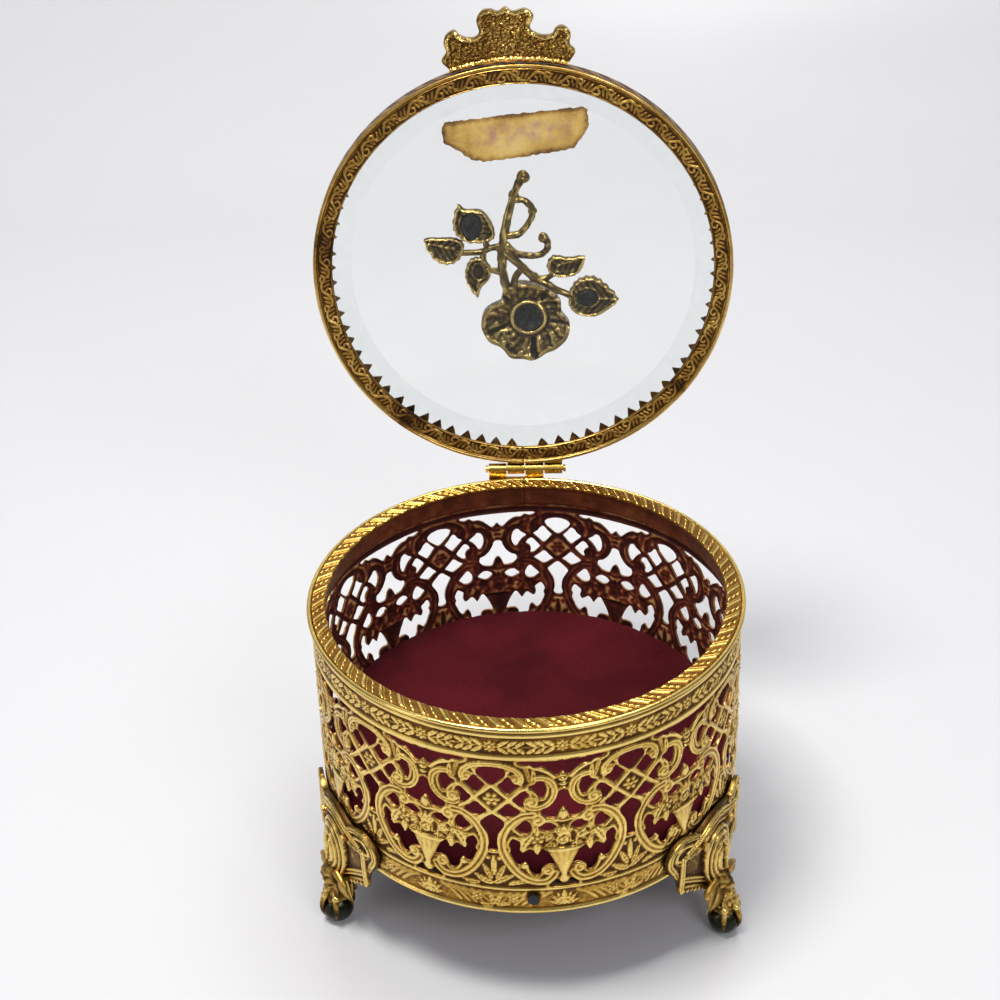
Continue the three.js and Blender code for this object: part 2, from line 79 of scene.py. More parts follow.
def on_lid(u, w, zl):
    """Lid point, drawn shut (w away from the hinge, zl above the underside), at the stored pose."""
    u, w, zl = np.broadcast_arrays(
        np.asarray(u, float), np.asarray(w, float), np.asarray(zl, float)
    )
    dy, dz = -w - HINGE_Y, LID_Z + zl - HINGE_Z
    c, s = math.cos(rad(LID_OPEN)), math.sin(rad(LID_OPEN))
    return np.stack([u, HINGE_Y + dy * c + dz * s, HINGE_Z - dy * s + dz * c], -1)


# ---- noise and fields --------------------------------------------------------------------
def _hash(ix, iy, seed):
    n = (ix * 374761393 + iy * 668265263 + seed * 1442695041) & 0xFFFFFFFF
    n = ((n ^ (n >> 13)) * 1274126177) & 0xFFFFFFFF
    return ((n ^ (n >> 16)) & 0xFFFF) / 32767.5 - 1.0


def noise(x, y, seed=0):
    x, y = np.broadcast_arrays(np.asarray(x, float), np.asarray(y, float))
    ix, iy = np.floor(x).astype(np.int64), np.floor(y).astype(np.int64)
    fx, fy = x - ix, y - iy
    fx, fy = fx * fx * (3 - 2 * fx), fy * fy * (3 - 2 * fy)
    a, b = _hash(ix, iy, seed), _hash(ix + 1, iy, seed)
    c, d = _hash(ix, iy + 1, seed), _hash(ix + 1, iy + 1, seed)
    return (a * (1 - fx) + b * fx) * (1 - fy) + (c * (1 - fx) + d * fx) * fy


def fbm(x, y, seed=0, octaves=3):
    t, amp = 0, 1.0
    for o in range(octaves):
        t = t + amp * noise(x * 2**o, y * 2**o, seed + 17 * o)
        amp *= 0.5
    return t / 1.75


def step(a, b, x):
    t = np.clip((x - a) / (b - a), 0, 1)
    return t * t * (3 - 2 * t)


def blur(h, s, wrap):
    """Gaussian blur of a grid, s in cells; wrap joins the columns."""
    k = np.arange(-int(3 * s) - 1, int(3 * s) + 2)
    g = np.exp(-(k**2) / (2 * s * s))
    g /= g.sum()
    out = np.zeros_like(h)
    for i, wgt in zip(k, g):
        if wrap:
            out += wgt * np.roll(h, i, 1)
        else:
            out += wgt * h[:, np.clip(np.arange(h.shape[1]) - i, 0, h.shape[1] - 1)]
    h, out = out, np.zeros_like(h)
    for i, wgt in zip(k, g):
        out += wgt * h[np.clip(np.arange(h.shape[0]) - i, 0, h.shape[0] - 1)]
    return out


def loop(pts, n=6):
    """Closed Catmull-Rom outline through the points."""
    P = np.array(pts, float)
    a, b, c, d = np.roll(P, 1, 0), P, np.roll(P, -1, 0), np.roll(P, -2, 0)
    t = (np.arange(n) / n)[None, :, None]
    a, b, c, d = (q[:, None, :] for q in (a, b, c, d))
    q = 0.5 * (2 * b + (c - a) * t + (2 * a - 5 * b + 4 * c - d) * t**2 + (3 * b - a - 3 * c + d) * t**3)
    return q.reshape(-1, P.shape[1])


def curve(pts, n=8):
    """Open Catmull-Rom line through the points."""
    P = np.array(pts, float)
    P = np.vstack([2 * P[0] - P[1], P, 2 * P[-1] - P[-2]])
    out = []
    for i in range(1, len(P) - 2):
        a, b, c, d = P[i - 1], P[i], P[i + 1], P[i + 2]
        for j in range(n):
            t = j / n
            out.append(0.5 * (2 * b + (c - a) * t + (2 * a - 5 * b + 4 * c - d) * t**2 + (3 * b - a - 3 * c + d) * t**3))
    out.append(P[-2])
    return np.array(out)


def line_dist(x, y, pts, reach=1e9):
    """Distance to a polyline and how far along it (0..1), for grid points within reach of its box."""
    pts = np.asarray(pts, float)
    d = np.full(x.shape, reach, float)
    s = np.zeros(x.shape)
    near = (
        (x > pts[:, 0].min() - reach) & (x < pts[:, 0].max() + reach)
        & (y > pts[:, 1].min() - reach) & (y < pts[:, 1].max() + reach)
    )
    if not near.any():
        return d, s
    px, py = x[near], y[near]
    L = np.r_[0, np.cumsum(np.hypot(*np.diff(pts, axis=0).T))]
    best, along = np.full(px.shape, reach, float), np.zeros(px.shape)
    for i in range(len(pts) - 1):
        ax, ay = pts[i]
        bx, by = pts[i + 1] - pts[i]
        q = bx * bx + by * by
        if q < 1e-12:
            continue
        t = np.clip(((px - ax) * bx + (py - ay) * by) / q, 0, 1)
        e = np.hypot(px - ax - t * bx, py - ay - t * by)
        m = e < best
        best[m] = e[m]
        along[m] = (L[i] + t[m] * (L[i + 1] - L[i])) / L[-1]
    d[near], s[near] = best, along
    return d, s


def poly_sdf(x, y, poly, reach=6.0):
    """Signed distance to a closed outline, negative inside."""
    poly = np.asarray(poly, float)
    d, _ = line_dist(x, y, np.vstack([poly, poly[:1]]), reach)
    inside = np.zeros(x.shape, bool)
    m = (x > poly[:, 0].min()) & (x < poly[:, 0].max()) & (y > poly[:, 1].min()) & (y < poly[:, 1].max())
    px, py = x[m], y[m]
    c = np.zeros(px.shape, bool)
    for (ax, ay), (bx, by) in zip(poly, np.roll(poly, -1, 0)):
        if ay == by:
            continue
        c ^= ((ay > py) != (by > py)) & (px < (bx - ax) * (py - ay) / (by - ay) + ax)
    inside[m] = c
    return np.where(inside, -d, d)


def mirrored(pts):
    return [(-u, v) for u, v in pts][::-1]


# relief stamps: each returns a height over the grid
def bar(x, y, pts, w, h, groove=0.0, taper=(1, 1), n=8):
    """Rounded rib along a smooth line, with a groove down its middle if asked."""
    d, s = line_dist(x, y, curve(pts, n), w * 1.6)
    ww = w * (taper[0] + (taper[1] - taper[0]) * s)
    q = np.clip(d / ww, 0, 1)
    r = h * np.sqrt(1 - q * q)
    if groove:
        r = r * (1 - groove * np.exp(-((q / 0.33) ** 2)))
    return r


def dome(x, y, u, v, r, h, ry=None, turn=0.0, power=0.5):
    c, s = math.cos(rad(turn)), math.sin(rad(turn))
    dx, dy = x - u, y - v
    q = ((dx * c + dy * s) / r) ** 2 + ((dy * c - dx * s) / (ry or r)) ** 2
    return h * np.clip(1 - q, 0, 1) ** power


def leaf(x, y, u0, v0, u1, v1, w, h, veins=5, bend=0.0):
    """Pointed leaf from a foot to a tip, with a sunk midrib and side veins."""
    L = math.hypot(u1 - u0, v1 - v0)
    ex, ey = (u1 - u0) / L, (v1 - v0) / L
    s = ((x - u0) * ex + (y - v0) * ey) / L
    t = -(x - u0) * ey + (y - v0) * ex - bend * s * (1 - s) * 4
    half = w * np.clip(np.sin(np.pi * np.clip(s, 0, 1) ** 0.75), 0, 1) ** 0.8
    q = np.where(half > 1e-3, np.abs(t) / np.maximum(half, 1e-3), 9)
    body = np.where((s > 0) & (s < 1) & (q < 1), np.clip(1 - q**2, 0, 1) ** 0.5, 0)
    rib = 1 - 0.45 * np.exp(-((t / (0.16 * w)) ** 2))
    side = 1 - 0.22 * (0.5 + 0.5 * np.cos(2 * np.pi * (veins * (s + 0.35 * np.abs(t) / L))))
    return h * body * rib * side


def rosette(x, y, u, v, r, h, petals=6, turn=0.0, eye=0.32):
    dx, dy = x - u, y - v
    q = np.hypot(dx, dy) / r
    a = np.arctan2(dy, dx) - rad(turn)
    lobe = 0.5 + 0.5 * np.cos(petals * a)
    edge = 0.78 + 0.22 * lobe
    p = np.clip(1 - (q / edge) ** 2, 0, 1) ** 0.5 * (0.55 + 0.45 * lobe)
    p = p * (1 - 0.6 * np.exp(-(((q - eye) / 0.1) ** 2)))
    core = np.clip(1 - (q / eye) ** 2, 0, 1) ** 0.5
    return h * np.maximum(p, core * 1.05)


def rose(x, y, u, v, r, h, turn=0.0):
    """Open rose: petals wound round its middle."""
    dx, dy = x - u, y - v
    q = np.hypot(dx, dy) / r
    a = np.arctan2(dy, dx) + rad(turn)
    wound = 0.5 + 0.5 * np.cos(a * 1.0 + 2 * np.pi * 2.3 * q + 0.8 * np.sin(3 * a))
    edge = 0.9 + 0.1 * np.cos(5 * a)
    body = np.clip(1 - (q / edge) ** 2, 0, 1) ** 0.5
    return h * body * (0.55 + 0.45 * wound)


def cavity(h, cell, wrap, a=0.45, b=1.6):
    """0 in recesses, 1 on high places."""
    fine = h - blur(h, max(a / cell, 0.6), wrap)
    wide = h - blur(h, b / cell, wrap)
    return np.clip(0.5 + 1.9 * fine + 1.15 * wide, 0, 1)


# ---- mesh building ---------------------------------------------------------------------------
def to_mesh(name, V, faces, attrs=None, sharp=52.0, slots=None):
    """A mesh object from model-frame vertices (mm) and lists of triangles or quads."""
    me = bpy.data.meshes.new(name)
    V = world(V).astype(np.float32)
    me.vertices.add(len(V))
    me.vertices.foreach_set("co", V.ravel())
    faces = [np.asarray(f, np.int32) for f in faces if len(f)]
    loops = np.concatenate([f.ravel() for f in faces])
    sizes = np.concatenate([np.full(len(f), f.shape[1], np.int64) for f in faces])
    me.loops.add(len(loops))
    me.loops.foreach_set("vertex_index", loops)
    me.polygons.add(len(sizes))
    me.polygons.foreach_set("loop_start", np.r_[0, np.cumsum(sizes)[:-1]].astype(np.int32))
    if slots is not None:
        me.polygons.foreach_set("material_index", np.asarray(slots, np.int32))
    me.update(calc_edges=True)
    me.validate()
    for key, val in (attrs or {}).items():
        at = me.attributes.new(key, "FLOAT", "POINT")
        at.data.foreach_set("value", np.asarray(val, np.float32))
    me.polygons.foreach_set("use_smooth", np.ones(len(me.polygons), bool))
    if sharp:
        me.set_sharp_from_angle(angle=rad(sharp))
    o = bpy.data.objects.new(name, me)
    bpy.context.scene.collection.objects.link(o)
    return o


def thin(o, triangles, sharp=52.0):
    """Brings a dense mesh down to a number of triangles, keeping its shape."""
    n = sum(len(p.vertices) - 2 for p in o.data.polygons)
    if n <= triangles:
        return
    m = o.modifiers.new("thin", "DECIMATE")
    m.ratio = triangles / n
    m.use_collapse_triangulate = True
    dg = bpy.context.evaluated_depsgraph_get()
    new = bpy.data.meshes.new_from_object(o.evaluated_get(dg), preserve_all_data_layers=True, depsgraph=dg)
    o.modifiers.clear()
    old, o.data = o.data, new
    bpy.data.meshes.remove(old)
    new.polygons.foreach_set("use_smooth", np.ones(len(new.polygons), bool))
    new.set_sharp_from_angle(angle=rad(sharp))


def march(f, D, wrap):
    """Triangles of a grid sheet where f > 0, its border cut along f = 0.
    D holds per-vertex data (rows, columns, k). Returns data (n, k) and triangles."""
    nv, nu = f.shape
    idx = np.arange(nv * nu).reshape(nv, nu)
    right = np.roll(idx, -1, 1)
    n = nu if wrap else nu - 1
    a, b, c, d = idx[:-1, :n].ravel(), right[:-1, :n].ravel(), right[1:, :n].ravel(), idx[1:, :n].ravel()
    T = np.vstack([np.stack([a, b, c], 1), np.stack([a, c, d], 1)])
    F = f.ravel()
    D = D.reshape(nv * nu, -1)
    ins = F > 0
    k = ins[T].sum(1)
    out = [T[k == 3]]
    new_d, made = [], {}
    one, two = T[k == 1], T[k == 2]
    for i in (1, 2):  # turn each so that the odd vertex comes first
        m = ins[one[:, i]]
        one[m] = np.roll(one[m], -i, 1)
        m = ~ins[two[:, i]]
        two[m] = np.roll(two[m], -i, 1)
    N = nv * nu
    e1 = np.stack([one[:, 0] * N + one[:, 1], one[:, 0] * N + one[:, 2]], 1)
    e2 = np.stack([two[:, 1] * N + two[:, 0], two[:, 2] * N + two[:, 0]], 1)
    keys, inv = np.unique(np.concatenate([e1.ravel(), e2.ravel()]), return_inverse=True)
    i, j = keys // N, keys % N
    t = np.clip(F[i] / (F[i] - F[j] + 1e-12), 0.06, 0.94)[:, None]
    E = D[i] * (1 - t) + D[j] * t
    inv = inv.ravel() + N
    p1, p2 = inv[: e1.size].reshape(-1, 2), inv[e1.size :].reshape(-1, 2)
    out.append(np.stack([one[:, 0], p1[:, 0], p1[:, 1]], 1))
    out.append(np.stack([two[:, 1], two[:, 2], p2[:, 1]], 1))
    out.append(np.stack([two[:, 1], p2[:, 1], p2[:, 0]], 1))
    T = np.vstack(out)
    D = np.vstack([D, E])
    used, inv = np.unique(T, return_inverse=True)
    return D[used], inv.reshape(-1, 3)


def shell(name, f, front, back, attrs, wrap=False, max_tris=None, sharp=52.0, join=None):
    """Closed sheet: a front surface with relief and a back surface, cut to the mask f.
    attrs: name -> (front values, back values) on the grid."""
    keys = list(attrs)
    D = np.dstack([front, back] + [np.broadcast_to(q, f.shape)[..., None] for kk in keys for q in attrs[kk]])
    D, T = march(f, D, wrap)
    n = len(D)
    V = np.vstack([D[:, :3], D[:, 3:6]])
    vals = {kk: np.concatenate([D[:, 6 + 2 * i], D[:, 7 + 2 * i]]) for i, kk in enumerate(keys)}
    e = np.vstack([T[:, [0, 1]], T[:, [1, 2]], T[:, [2, 0]]]).astype(np.int64)
    code, rev = e[:, 0] * n + e[:, 1], e[:, 1] * n + e[:, 0]
    rim = e[~np.isin(code, rev)]
    side = np.stack([rim[:, 1], rim[:, 0], rim[:, 0] + n, rim[:, 1] + n], 1)
    faces = [T, T[:, ::-1] + n, side]
    if join is not None:
        return V, faces, vals
    o = to_mesh(name, V, faces, vals, sharp)
    if max_tris:
        thin(o, max_tris, sharp)
    return o


def revolve(profile, n, start=0.0):
    """Vertices and quads of a closed (radius, z) profile turned about the axis: rows are profile points."""
    # """Azimuths in degrees of n even steps round the axis, from start; profile is not used."""
    az = start + np.arange(n) * 360.0 / n
    return az


def ring_mesh(name, P, attrs, sharp=40.0, max_tris=None, flip=False):
    """Closed surface from a (profile points, round points, 3) grid, both ways periodic."""
    m, n = P.shape[:2]
    idx = np.arange(m * n).reshape(m, n)
    a, b = idx, np.roll(idx, -1, 1)
    c, d = np.roll(b, -1, 0), np.roll(a, -1, 0)
    Q = np.stack([a.ravel(), b.ravel(), c.ravel(), d.ravel()], 1)
    if flip:
        Q = Q[:, ::-1]
    o = to_mesh(name, P.reshape(-1, 3), [Q], {k: v.ravel() for k, v in attrs.items()}, sharp)
    if max_tris:
        thin(o, max_tris, sharp)
    return o


def outward(o):
    """Turns a closed mesh's faces outwards if they point in."""
    import bmesh
    bm = bmesh.new()
    bm.from_mesh(o.data)
    bmesh.ops.recalc_face_normals(bm, faces=bm.faces)
    bm.to_mesh(o.data)
    bm.free()
    return o


class Parts:
    """Closed shells gathered into one mesh."""

    def __init__(self):
        self.V, self.F, self.A, self.n = [], [], {}, 0

    def add(self, V, faces, attrs=None):
        V = np.asarray(V, float).reshape(-1, 3)
        self.V.append(V)
        self.F += [np.asarray(f, np.int64) + self.n for f in faces if len(f)]
        for k in ("cav",):
            self.A.setdefault(k, []).append(np.broadcast_to(np.asarray((attrs or {}).get(k, 0.6), float).ravel(), (len(V),)) if np.ndim((attrs or {}).get(k, 0.6)) == 0 or np.size((attrs or {}).get(k, 0.6)) == 1 else np.asarray(attrs[k], float).ravel())
        self.n += len(V)

    def tube(self, pts, r, sides=14, n=8, flat=1.0, up=None, rough=0.0, seed=1, cav=0.65, to=None, ribs=0):
        """Tapered tube along a smooth line; r is one radius or one per point. to maps points to the model."""
        C = curve(pts, n)
        k = len(C)
        s = np.linspace(0, 1, k)
        R = np.interp(s, np.linspace(0, 1, np.size(r)), np.atleast_1d(r)) if np.size(r) > 1 else np.full(k, float(r))
        T = np.gradient(C, axis=0)
        T /= np.linalg.norm(T, axis=1)[:, None] + 1e-12
        ref = np.array(up if up is not None else (0.0, 0.0, 1.0), float)
        N1 = np.cross(T, ref)
        bad = np.linalg.norm(N1, axis=1) < 1e-3
        N1[bad] = np.cross(T[bad], np.array([0.3, 1.0, 0.2]))
        N1 /= np.linalg.norm(N1, axis=1)[:, None]
        N2 = np.cross(T, N1)
        a = np.arange(sides) * 2 * np.pi / sides
        # round the two ends off
        Rr = R.copy()
        ww = 1 + rough * noise(np.arange(k)[:, None] * 0.55 + 0 * a, a[None, :] * 1.6 + 9 * seed, seed)
        if ribs:
            ww = ww * (1 + 0.10 * np.cos(ribs * a))[None, :]
        P = C[:, None, :] + (Rr[:, None] * ww)[..., None] * (np.cos(a)[None, :, None] * N1[:, None, :] + flat * np.sin(a)[None, :, None] * N2[:, None, :])
        ends0, ends1 = C[0] - T[0] * Rr[0] * 0.6, C[-1] + T[-1] * Rr[-1] * 0.6
        cap0 = C[0] + (P[0] - C[0]) * 0.72 - T[0] * Rr[0] * 0.38
        cap1 = C[-1] + (P[-1] - C[-1]) * 0.72 + T[-1] * Rr[-1] * 0.38
        G = np.vstack([cap0[None], P, cap1[None]])
        m = len(G)
        V = np.vstack([G.reshape(-1, 3), ends0[None], ends1[None]])
        if to is not None:
            V = to(V)
        idx = np.arange(m * sides).reshape(m, sides)
        nx = np.roll(idx, -1, 1)
        Q = np.stack([idx[:-1].ravel(), nx[:-1].ravel(), nx[1:].ravel(), idx[1:].ravel()], 1)
        t0 = np.stack([nx[0], idx[0], np.full(sides, m * sides)], 1)
        t1 = np.stack([idx[-1], nx[-1], np.full(sides, m * sides + 1)], 1)
        cv = np.full(len(V), cav)
        cv[: m * sides] = np.clip(cav + (0.5 * noise(np.repeat(np.arange(m) * 0.5, sides), np.tile(a * 1.5, m), seed + 5) if rough else 0), 0, 1)
        self.add(V, [Q, t0, t1], {"cav": cv})

    def ball(self, c, r, nu=32, nv=20, scale=(1, 1, 1), fn=None, cav=0.5, to=None):
        th = np.linspace(0, np.pi, nv + 1)[1:-1]
        ph = np.arange(nu) * 2 * np.pi / nu
        T, Pp = np.meshgrid(th, ph, indexing="ij")
        d = np.stack([np.sin(T) * np.cos(Pp), np.sin(T) * np.sin(Pp), np.cos(T)], -1)
        rr = r * (1 + (fn(T, Pp) if fn else 0 * T))
        V = (d * rr[..., None] * np.array(scale)).reshape(-1, 3) + np.array(c)
        top = np.array(c) + np.array([0, 0, r]) * np.array(scale)
        bot = np.array(c) - np.array([0, 0, r]) * np.array(scale)
        V = np.vstack([V, top, bot])
        if to is not None:
            V = to(V)
        idx = np.arange((nv - 1) * nu).reshape(nv - 1, nu)
        nx = np.roll(idx, -1, 1)
        Q = np.stack([idx[:-1].ravel(), idx[1:].ravel(), nx[1:].ravel(), nx[:-1].ravel()], 1)
        N = (nv - 1) * nu
        t0 = np.stack([idx[0], nx[0], np.full(nu, N)], 1)
        t1 = np.stack([nx[-1], idx[-1], np.full(nu, N + 1)], 1)
        self.add(V, [Q, t0, t1], {"cav": cav})

    def make(self, name, sharp=45.0):
        return to_mesh(name, np.vstack(self.V), self.F, {k: np.concatenate(v) for k, v in self.A.items()}, sharp)


# ---- materials ---------------------------------------------------------------------------------
def new_mat(name):
    m = bpy.data.materials.new(name)
    m.use_nodes = True
    nt = m.node_tree
    b = nt.nodes["Principled BSDF"]
    return m, nt, b


def node(nt, kind, **kw):
    n = nt.nodes.new(kind)
    for k, v in kw.items():
        setattr(n, k, v)
    return n


def coords(nt):
    return node(nt, "ShaderNodeTexCoord").outputs["Object"]


def noise_tex(nt, vec, scale, detail=4.0, rough=0.55, distort=0.0):
    n = node(nt, "ShaderNodeTexNoise")
    n.inputs["Scale"].default_value = scale
    n.inputs["Detail"].default_value = detail
    n.inputs["Roughness"].default_value = rough
    n.inputs["Distortion"].default_value = distort
    nt.links.new(vec, n.inputs["Vector"])
    return n.outputs["Fac"]


def math_node(nt, op, a, b=None, c=None, clamp=False):
    n = node(nt, "ShaderNodeMath", operation=op, use_clamp=clamp)
    for i, v in enumerate((a, b, c)):
        if v is None:
            continue
        if isinstance(v, (int, float)):
            n.inputs[i].default_value = v
        else:
            nt.links.new(v, n.inputs[i])
    return n.outputs[0]


def ramp(nt, fac, stops, smooth=False):
    n = node(nt, "ShaderNodeValToRGB")
    cr = n.color_ramp
    cr.interpolation = "B_SPLINE" if smooth else "LINEAR"
    while len(cr.elements) > 1:
        cr.elements.remove(cr.elements[-1])
    for i, (p, c) in enumerate(stops):
        e = cr.elements[0] if i == 0 else cr.elements.new(p)
        e.position = p
        e.color = (*c, 1) if len(c) == 3 else c
    nt.links.new(fac, n.inputs["Fac"])
    return n.outputs["Color"]


def bump(nt, b, height, strength, dist):
    n = node(nt, "ShaderNodeBump")
    n.inputs["Strength"].default_value = strength
    n.inputs["Distance"].default_value = dist
    nt.links.new(height, n.inputs["Height"])
    nt.links.new(n.outputs["Normal"], b.inputs["Normal"])


def aged_metal(name, stops, relief=True, tarnish=0.35, rough=(0.5, 0.26), metal=(0.75, 1.0), grain=900, inner=None, plain=0.62):
    """Gilt brass worn bright on its high places and brown in its recesses. stops is a colour
    ramp over 0 (recess) to 1 (high); relief says that the mesh carries a cav attribute."""
    m, nt, b = new_mat(name)
    vec = coords(nt)
    n1 = noise_tex(nt, vec, 60, 5.0, 0.6)
    n2 = noise_tex(nt, vec, grain, 3.0, 0.6)
    if relief:
        at = node(nt, "ShaderNodeAttribute", attribute_name="cav")
        base = at.outputs["Fac"]
    else:
        base = math_node(nt, "ADD", math_node(nt, "MULTIPLY", n1, 0.3), plain - 0.15)
    f = math_node(nt, "ADD", base, math_node(nt, "MULTIPLY", math_node(nt, "SUBTRACT", n1, 0.5), tarnish * 1.6))
    f = math_node(nt, "ADD", f, math_node(nt, "MULTIPLY", math_node(nt, "SUBTRACT", n2, 0.5), tarnish), clamp=True)
    col = ramp(nt, f, stops)
    if inner:
        ai = node(nt, "ShaderNodeAttribute", attribute_name="inn")
        n3 = noise_tex(nt, vec, 220, 4.0, 0.65)
        c2 = ramp(nt, math_node(nt, "ADD", n3, math_node(nt, "MULTIPLY", math_node(nt, "SUBTRACT", base, 0.5), 0.5)), inner)
        mx = node(nt, "ShaderNodeMix", data_type="RGBA")
        nt.links.new(ai.outputs["Fac"], mx.inputs["Factor"])
        nt.links.new(col, mx.inputs["A"])
        nt.links.new(c2, mx.inputs["B"])
        col = mx.outputs["Result"]
    nt.links.new(col, b.inputs["Base Color"])
    r = node(nt, "ShaderNodeMapRange")
    r.inputs["To Min"].default_value, r.inputs["To Max"].default_value = rough
    nt.links.new(f, r.inputs["Value"])
    nt.links.new(r.outputs["Result"], b.inputs["Roughness"])
    q = node(nt, "ShaderNodeMapRange")
    q.inputs["From Max"].default_value = 0.5
    q.inputs["To Min"].default_value, q.inputs["To Max"].default_value = metal
    nt.links.new(f, q.inputs["Value"])
    met = q.outputs["Result"]
    if inner:
        met = math_node(nt, "MULTIPLY", met, math_node(nt, "SUBTRACT", 1.0, math_node(nt, "MULTIPLY", ai.outputs["Fac"], 0.62)))
    nt.links.new(met, b.inputs["Metallic"])
    bump(nt, b, math_node(nt, "ADD", n2, math_node(nt, "MULTIPLY", n1, 0.6)), 0.35, 0.00018)
    return m


GILT = [(0.0, (0.065, 0.022, 0.003)), (0.25, (0.18, 0.075, 0.010)), (0.45, (0.35, 0.185, 0.028)), (0.7, (0.58, 0.37, 0.078)), (1.0, (0.89, 0.65, 0.20))]
GILT_DARK = [(0.0, (0.022, 0.012, 0.004)), (0.35, (0.085, 0.045, 0.012)), (0.6, (0.30, 0.18, 0.05)), (1.0, (0.72, 0.52, 0.20))]
# colour of the inner faces: oxidised copper, with extra red painted in as a painted reflection of the red velvet pad
COPPER_AND_VELVET_REFLECTION = [(0.22, (0.050, 0.012, 0.008)), (0.42, (0.15, 0.030, 0.018)), (0.58, (0.27, 0.062, 0.032)), (0.74, (0.38, 0.125, 0.050)), (0.92, (0.78, 0.52, 0.18))]

MAT = {}
MAT["wall"] = aged_metal("wall_gilt", GILT, inner=COPPER_AND_VELVET_REFLECTION, rough=(0.5, 0.21))
MAT["rim"] = aged_metal("rim_gilt", GILT, inner=COPPER_AND_VELVET_REFLECTION, rough=(0.46, 0.16))
MAT["lid"] = aged_metal("lid_gilt", [(0.0, (0.028, 0.011, 0.003)), (0.3, (0.10, 0.043, 0.010)), (0.5, (0.27, 0.135, 0.028)), (0.75, (0.52, 0.31, 0.07)), (1.0, (0.86, 0.60, 0.20))], rough=(0.5, 0.24), tarnish=0.42)
MAT["foot"] = aged_metal("foot_gilt", [(0.0, (0.040, 0.016, 0.004)), (0.32, (0.15, 0.075, 0.014)), (0.58, (0.42, 0.25, 0.050)), (1.0, (0.86, 0.62, 0.19))], rough=(0.5, 0.23))
MAT["tab"] = aged_metal("tab_gilt", [(0.0, (0.035, 0.013, 0.003)), (0.35, (0.165, 0.075, 0.014)), (0.6, (0.43, 0.24, 0.048)), (1.0, (0.93, 0.68, 0.22))], rough=(0.4, 0.17))
MAT["rose"] = aged_metal("rose_gilt", [(0.0, (0.040, 0.025, 0.009)), (0.4, (0.15, 0.10, 0.035)), (0.65, (0.28, 0.19, 0.06)), (1.0, (0.72, 0.52, 0.18))], rough=(0.42, 0.24), metal=(0.7, 1.0))
MAT["hinge"] = aged_metal("hinge_gilt", GILT, relief=False, tarnish=0.3, rough=(0.4, 0.2), plain=0.66)
MAT["ball"] = aged_metal("ball_dark", [(0.0, (0.006, 0.008, 0.005)), (0.5, (0.02, 0.022, 0.012)), (0.8, (0.06, 0.055, 0.025)), (1.0, (0.25, 0.19, 0.07))], relief=True, rough=(0.3, 0.16), metal=(0.6, 0.9))
MAT["steel"] = aged_metal("tack_steel", [(0.0, (0.012, 0.012, 0.014)), (0.5, (0.05, 0.05, 0.058)), (1.0, (0.16, 0.16, 0.17))], relief=False, rough=(0.55, 0.3), plain=0.45)


def velvet(name, deep, mid, light, scale=1.0):
    m, nt, b = new_mat(name)
    vec = coords(nt)
    big = noise_tex(nt, vec, 38 * scale, 3.0, 0.55, 0.6)
    pile = noise_tex(nt, vec, 1500, 2.0, 0.7)
    fine = noise_tex(nt, vec, 4200, 2.0, 0.5)
    f = math_node(nt, "ADD", math_node(nt, "MULTIPLY", big, 0.65), math_node(nt, "MULTIPLY", pile, 0.35))
    nt.links.new(ramp(nt, f, [(0.3, deep), (0.5, mid), (0.72, light)], True), b.inputs["Base Color"])
    b.inputs["Roughness"].default_value = 0.95
    b.inputs["Specular IOR Level"].default_value = 0.12
    b.inputs["Sheen Weight"].default_value = 0.12
    b.inputs["Sheen Roughness"].default_value = 0.45
    b.inputs["Sheen Tint"].default_value = (0.7, 0.06, 0.09, 1)
    bump(nt, b, math_node(nt, "ADD", pile, math_node(nt, "MULTIPLY", fine, 0.6)), 0.7, 0.0003)
    return m


MAT["velvet"] = velvet("pad_velvet", (0.024, 0.0012, 0.0026), (0.050, 0.0025, 0.0050), (0.090, 0.0055, 0.0096))
MAT["under"] = velvet("under_velvet", (0.035, 0.004, 0.009), (0.06, 0.006, 0.014), (0.09, 0.012, 0.024), 0.7)


def board_mat():
    m, nt, b = new_mat("board_pulp")
    vec = coords(nt)
    n1, n2 = noise_tex(nt, vec, 260, 6.0, 0.7), noise_tex(nt, vec, 1400, 3.0, 0.6)
    nt.links.new(ramp(nt, math_node(nt, "ADD", math_node(nt, "MULTIPLY", n1, 0.6), math_node(nt, "MULTIPLY", n2, 0.4)), [(0.3, (0.075, 0.045, 0.028)), (0.7, (0.17, 0.115, 0.07))]), b.inputs["Base Color"])
    b.inputs["Roughness"].default_value = 0.9
    bump(nt, b, n2, 0.5, 0.0003)
    return m


def glass_mat():
    m, nt, b = new_mat("lid_glass")
    vec = coords(nt)
    n1, n2 = noise_tex(nt, vec, 34, 5.0, 0.6, 0.4), noise_tex(nt, vec, 700, 4.0, 0.7)
    nt.links.new(ramp(nt, n1, [(0.35, (0.975, 0.99, 0.985)), (0.7, (0.94, 0.965, 0.955))]), b.inputs["Base Color"])
    r = node(nt, "ShaderNodeMapRange")
    r.inputs["From Min"].default_value, r.inputs["From Max"].default_value = 0.56, 0.8
    r.inputs["To Min"].default_value, r.inputs["To Max"].default_value = 0.0, 0.09
    nt.links.new(math_node(nt, "ADD", math_node(nt, "MULTIPLY", n1, 0.7), math_node(nt, "MULTIPLY", n2, 0.3)), r.inputs["Value"])
    nt.links.new(r.outputs["Result"], b.inputs["Roughness"])
    b.inputs["IOR"].default_value = 1.27
    b.inputs["Transmission Weight"].default_value = 1.0
    return m


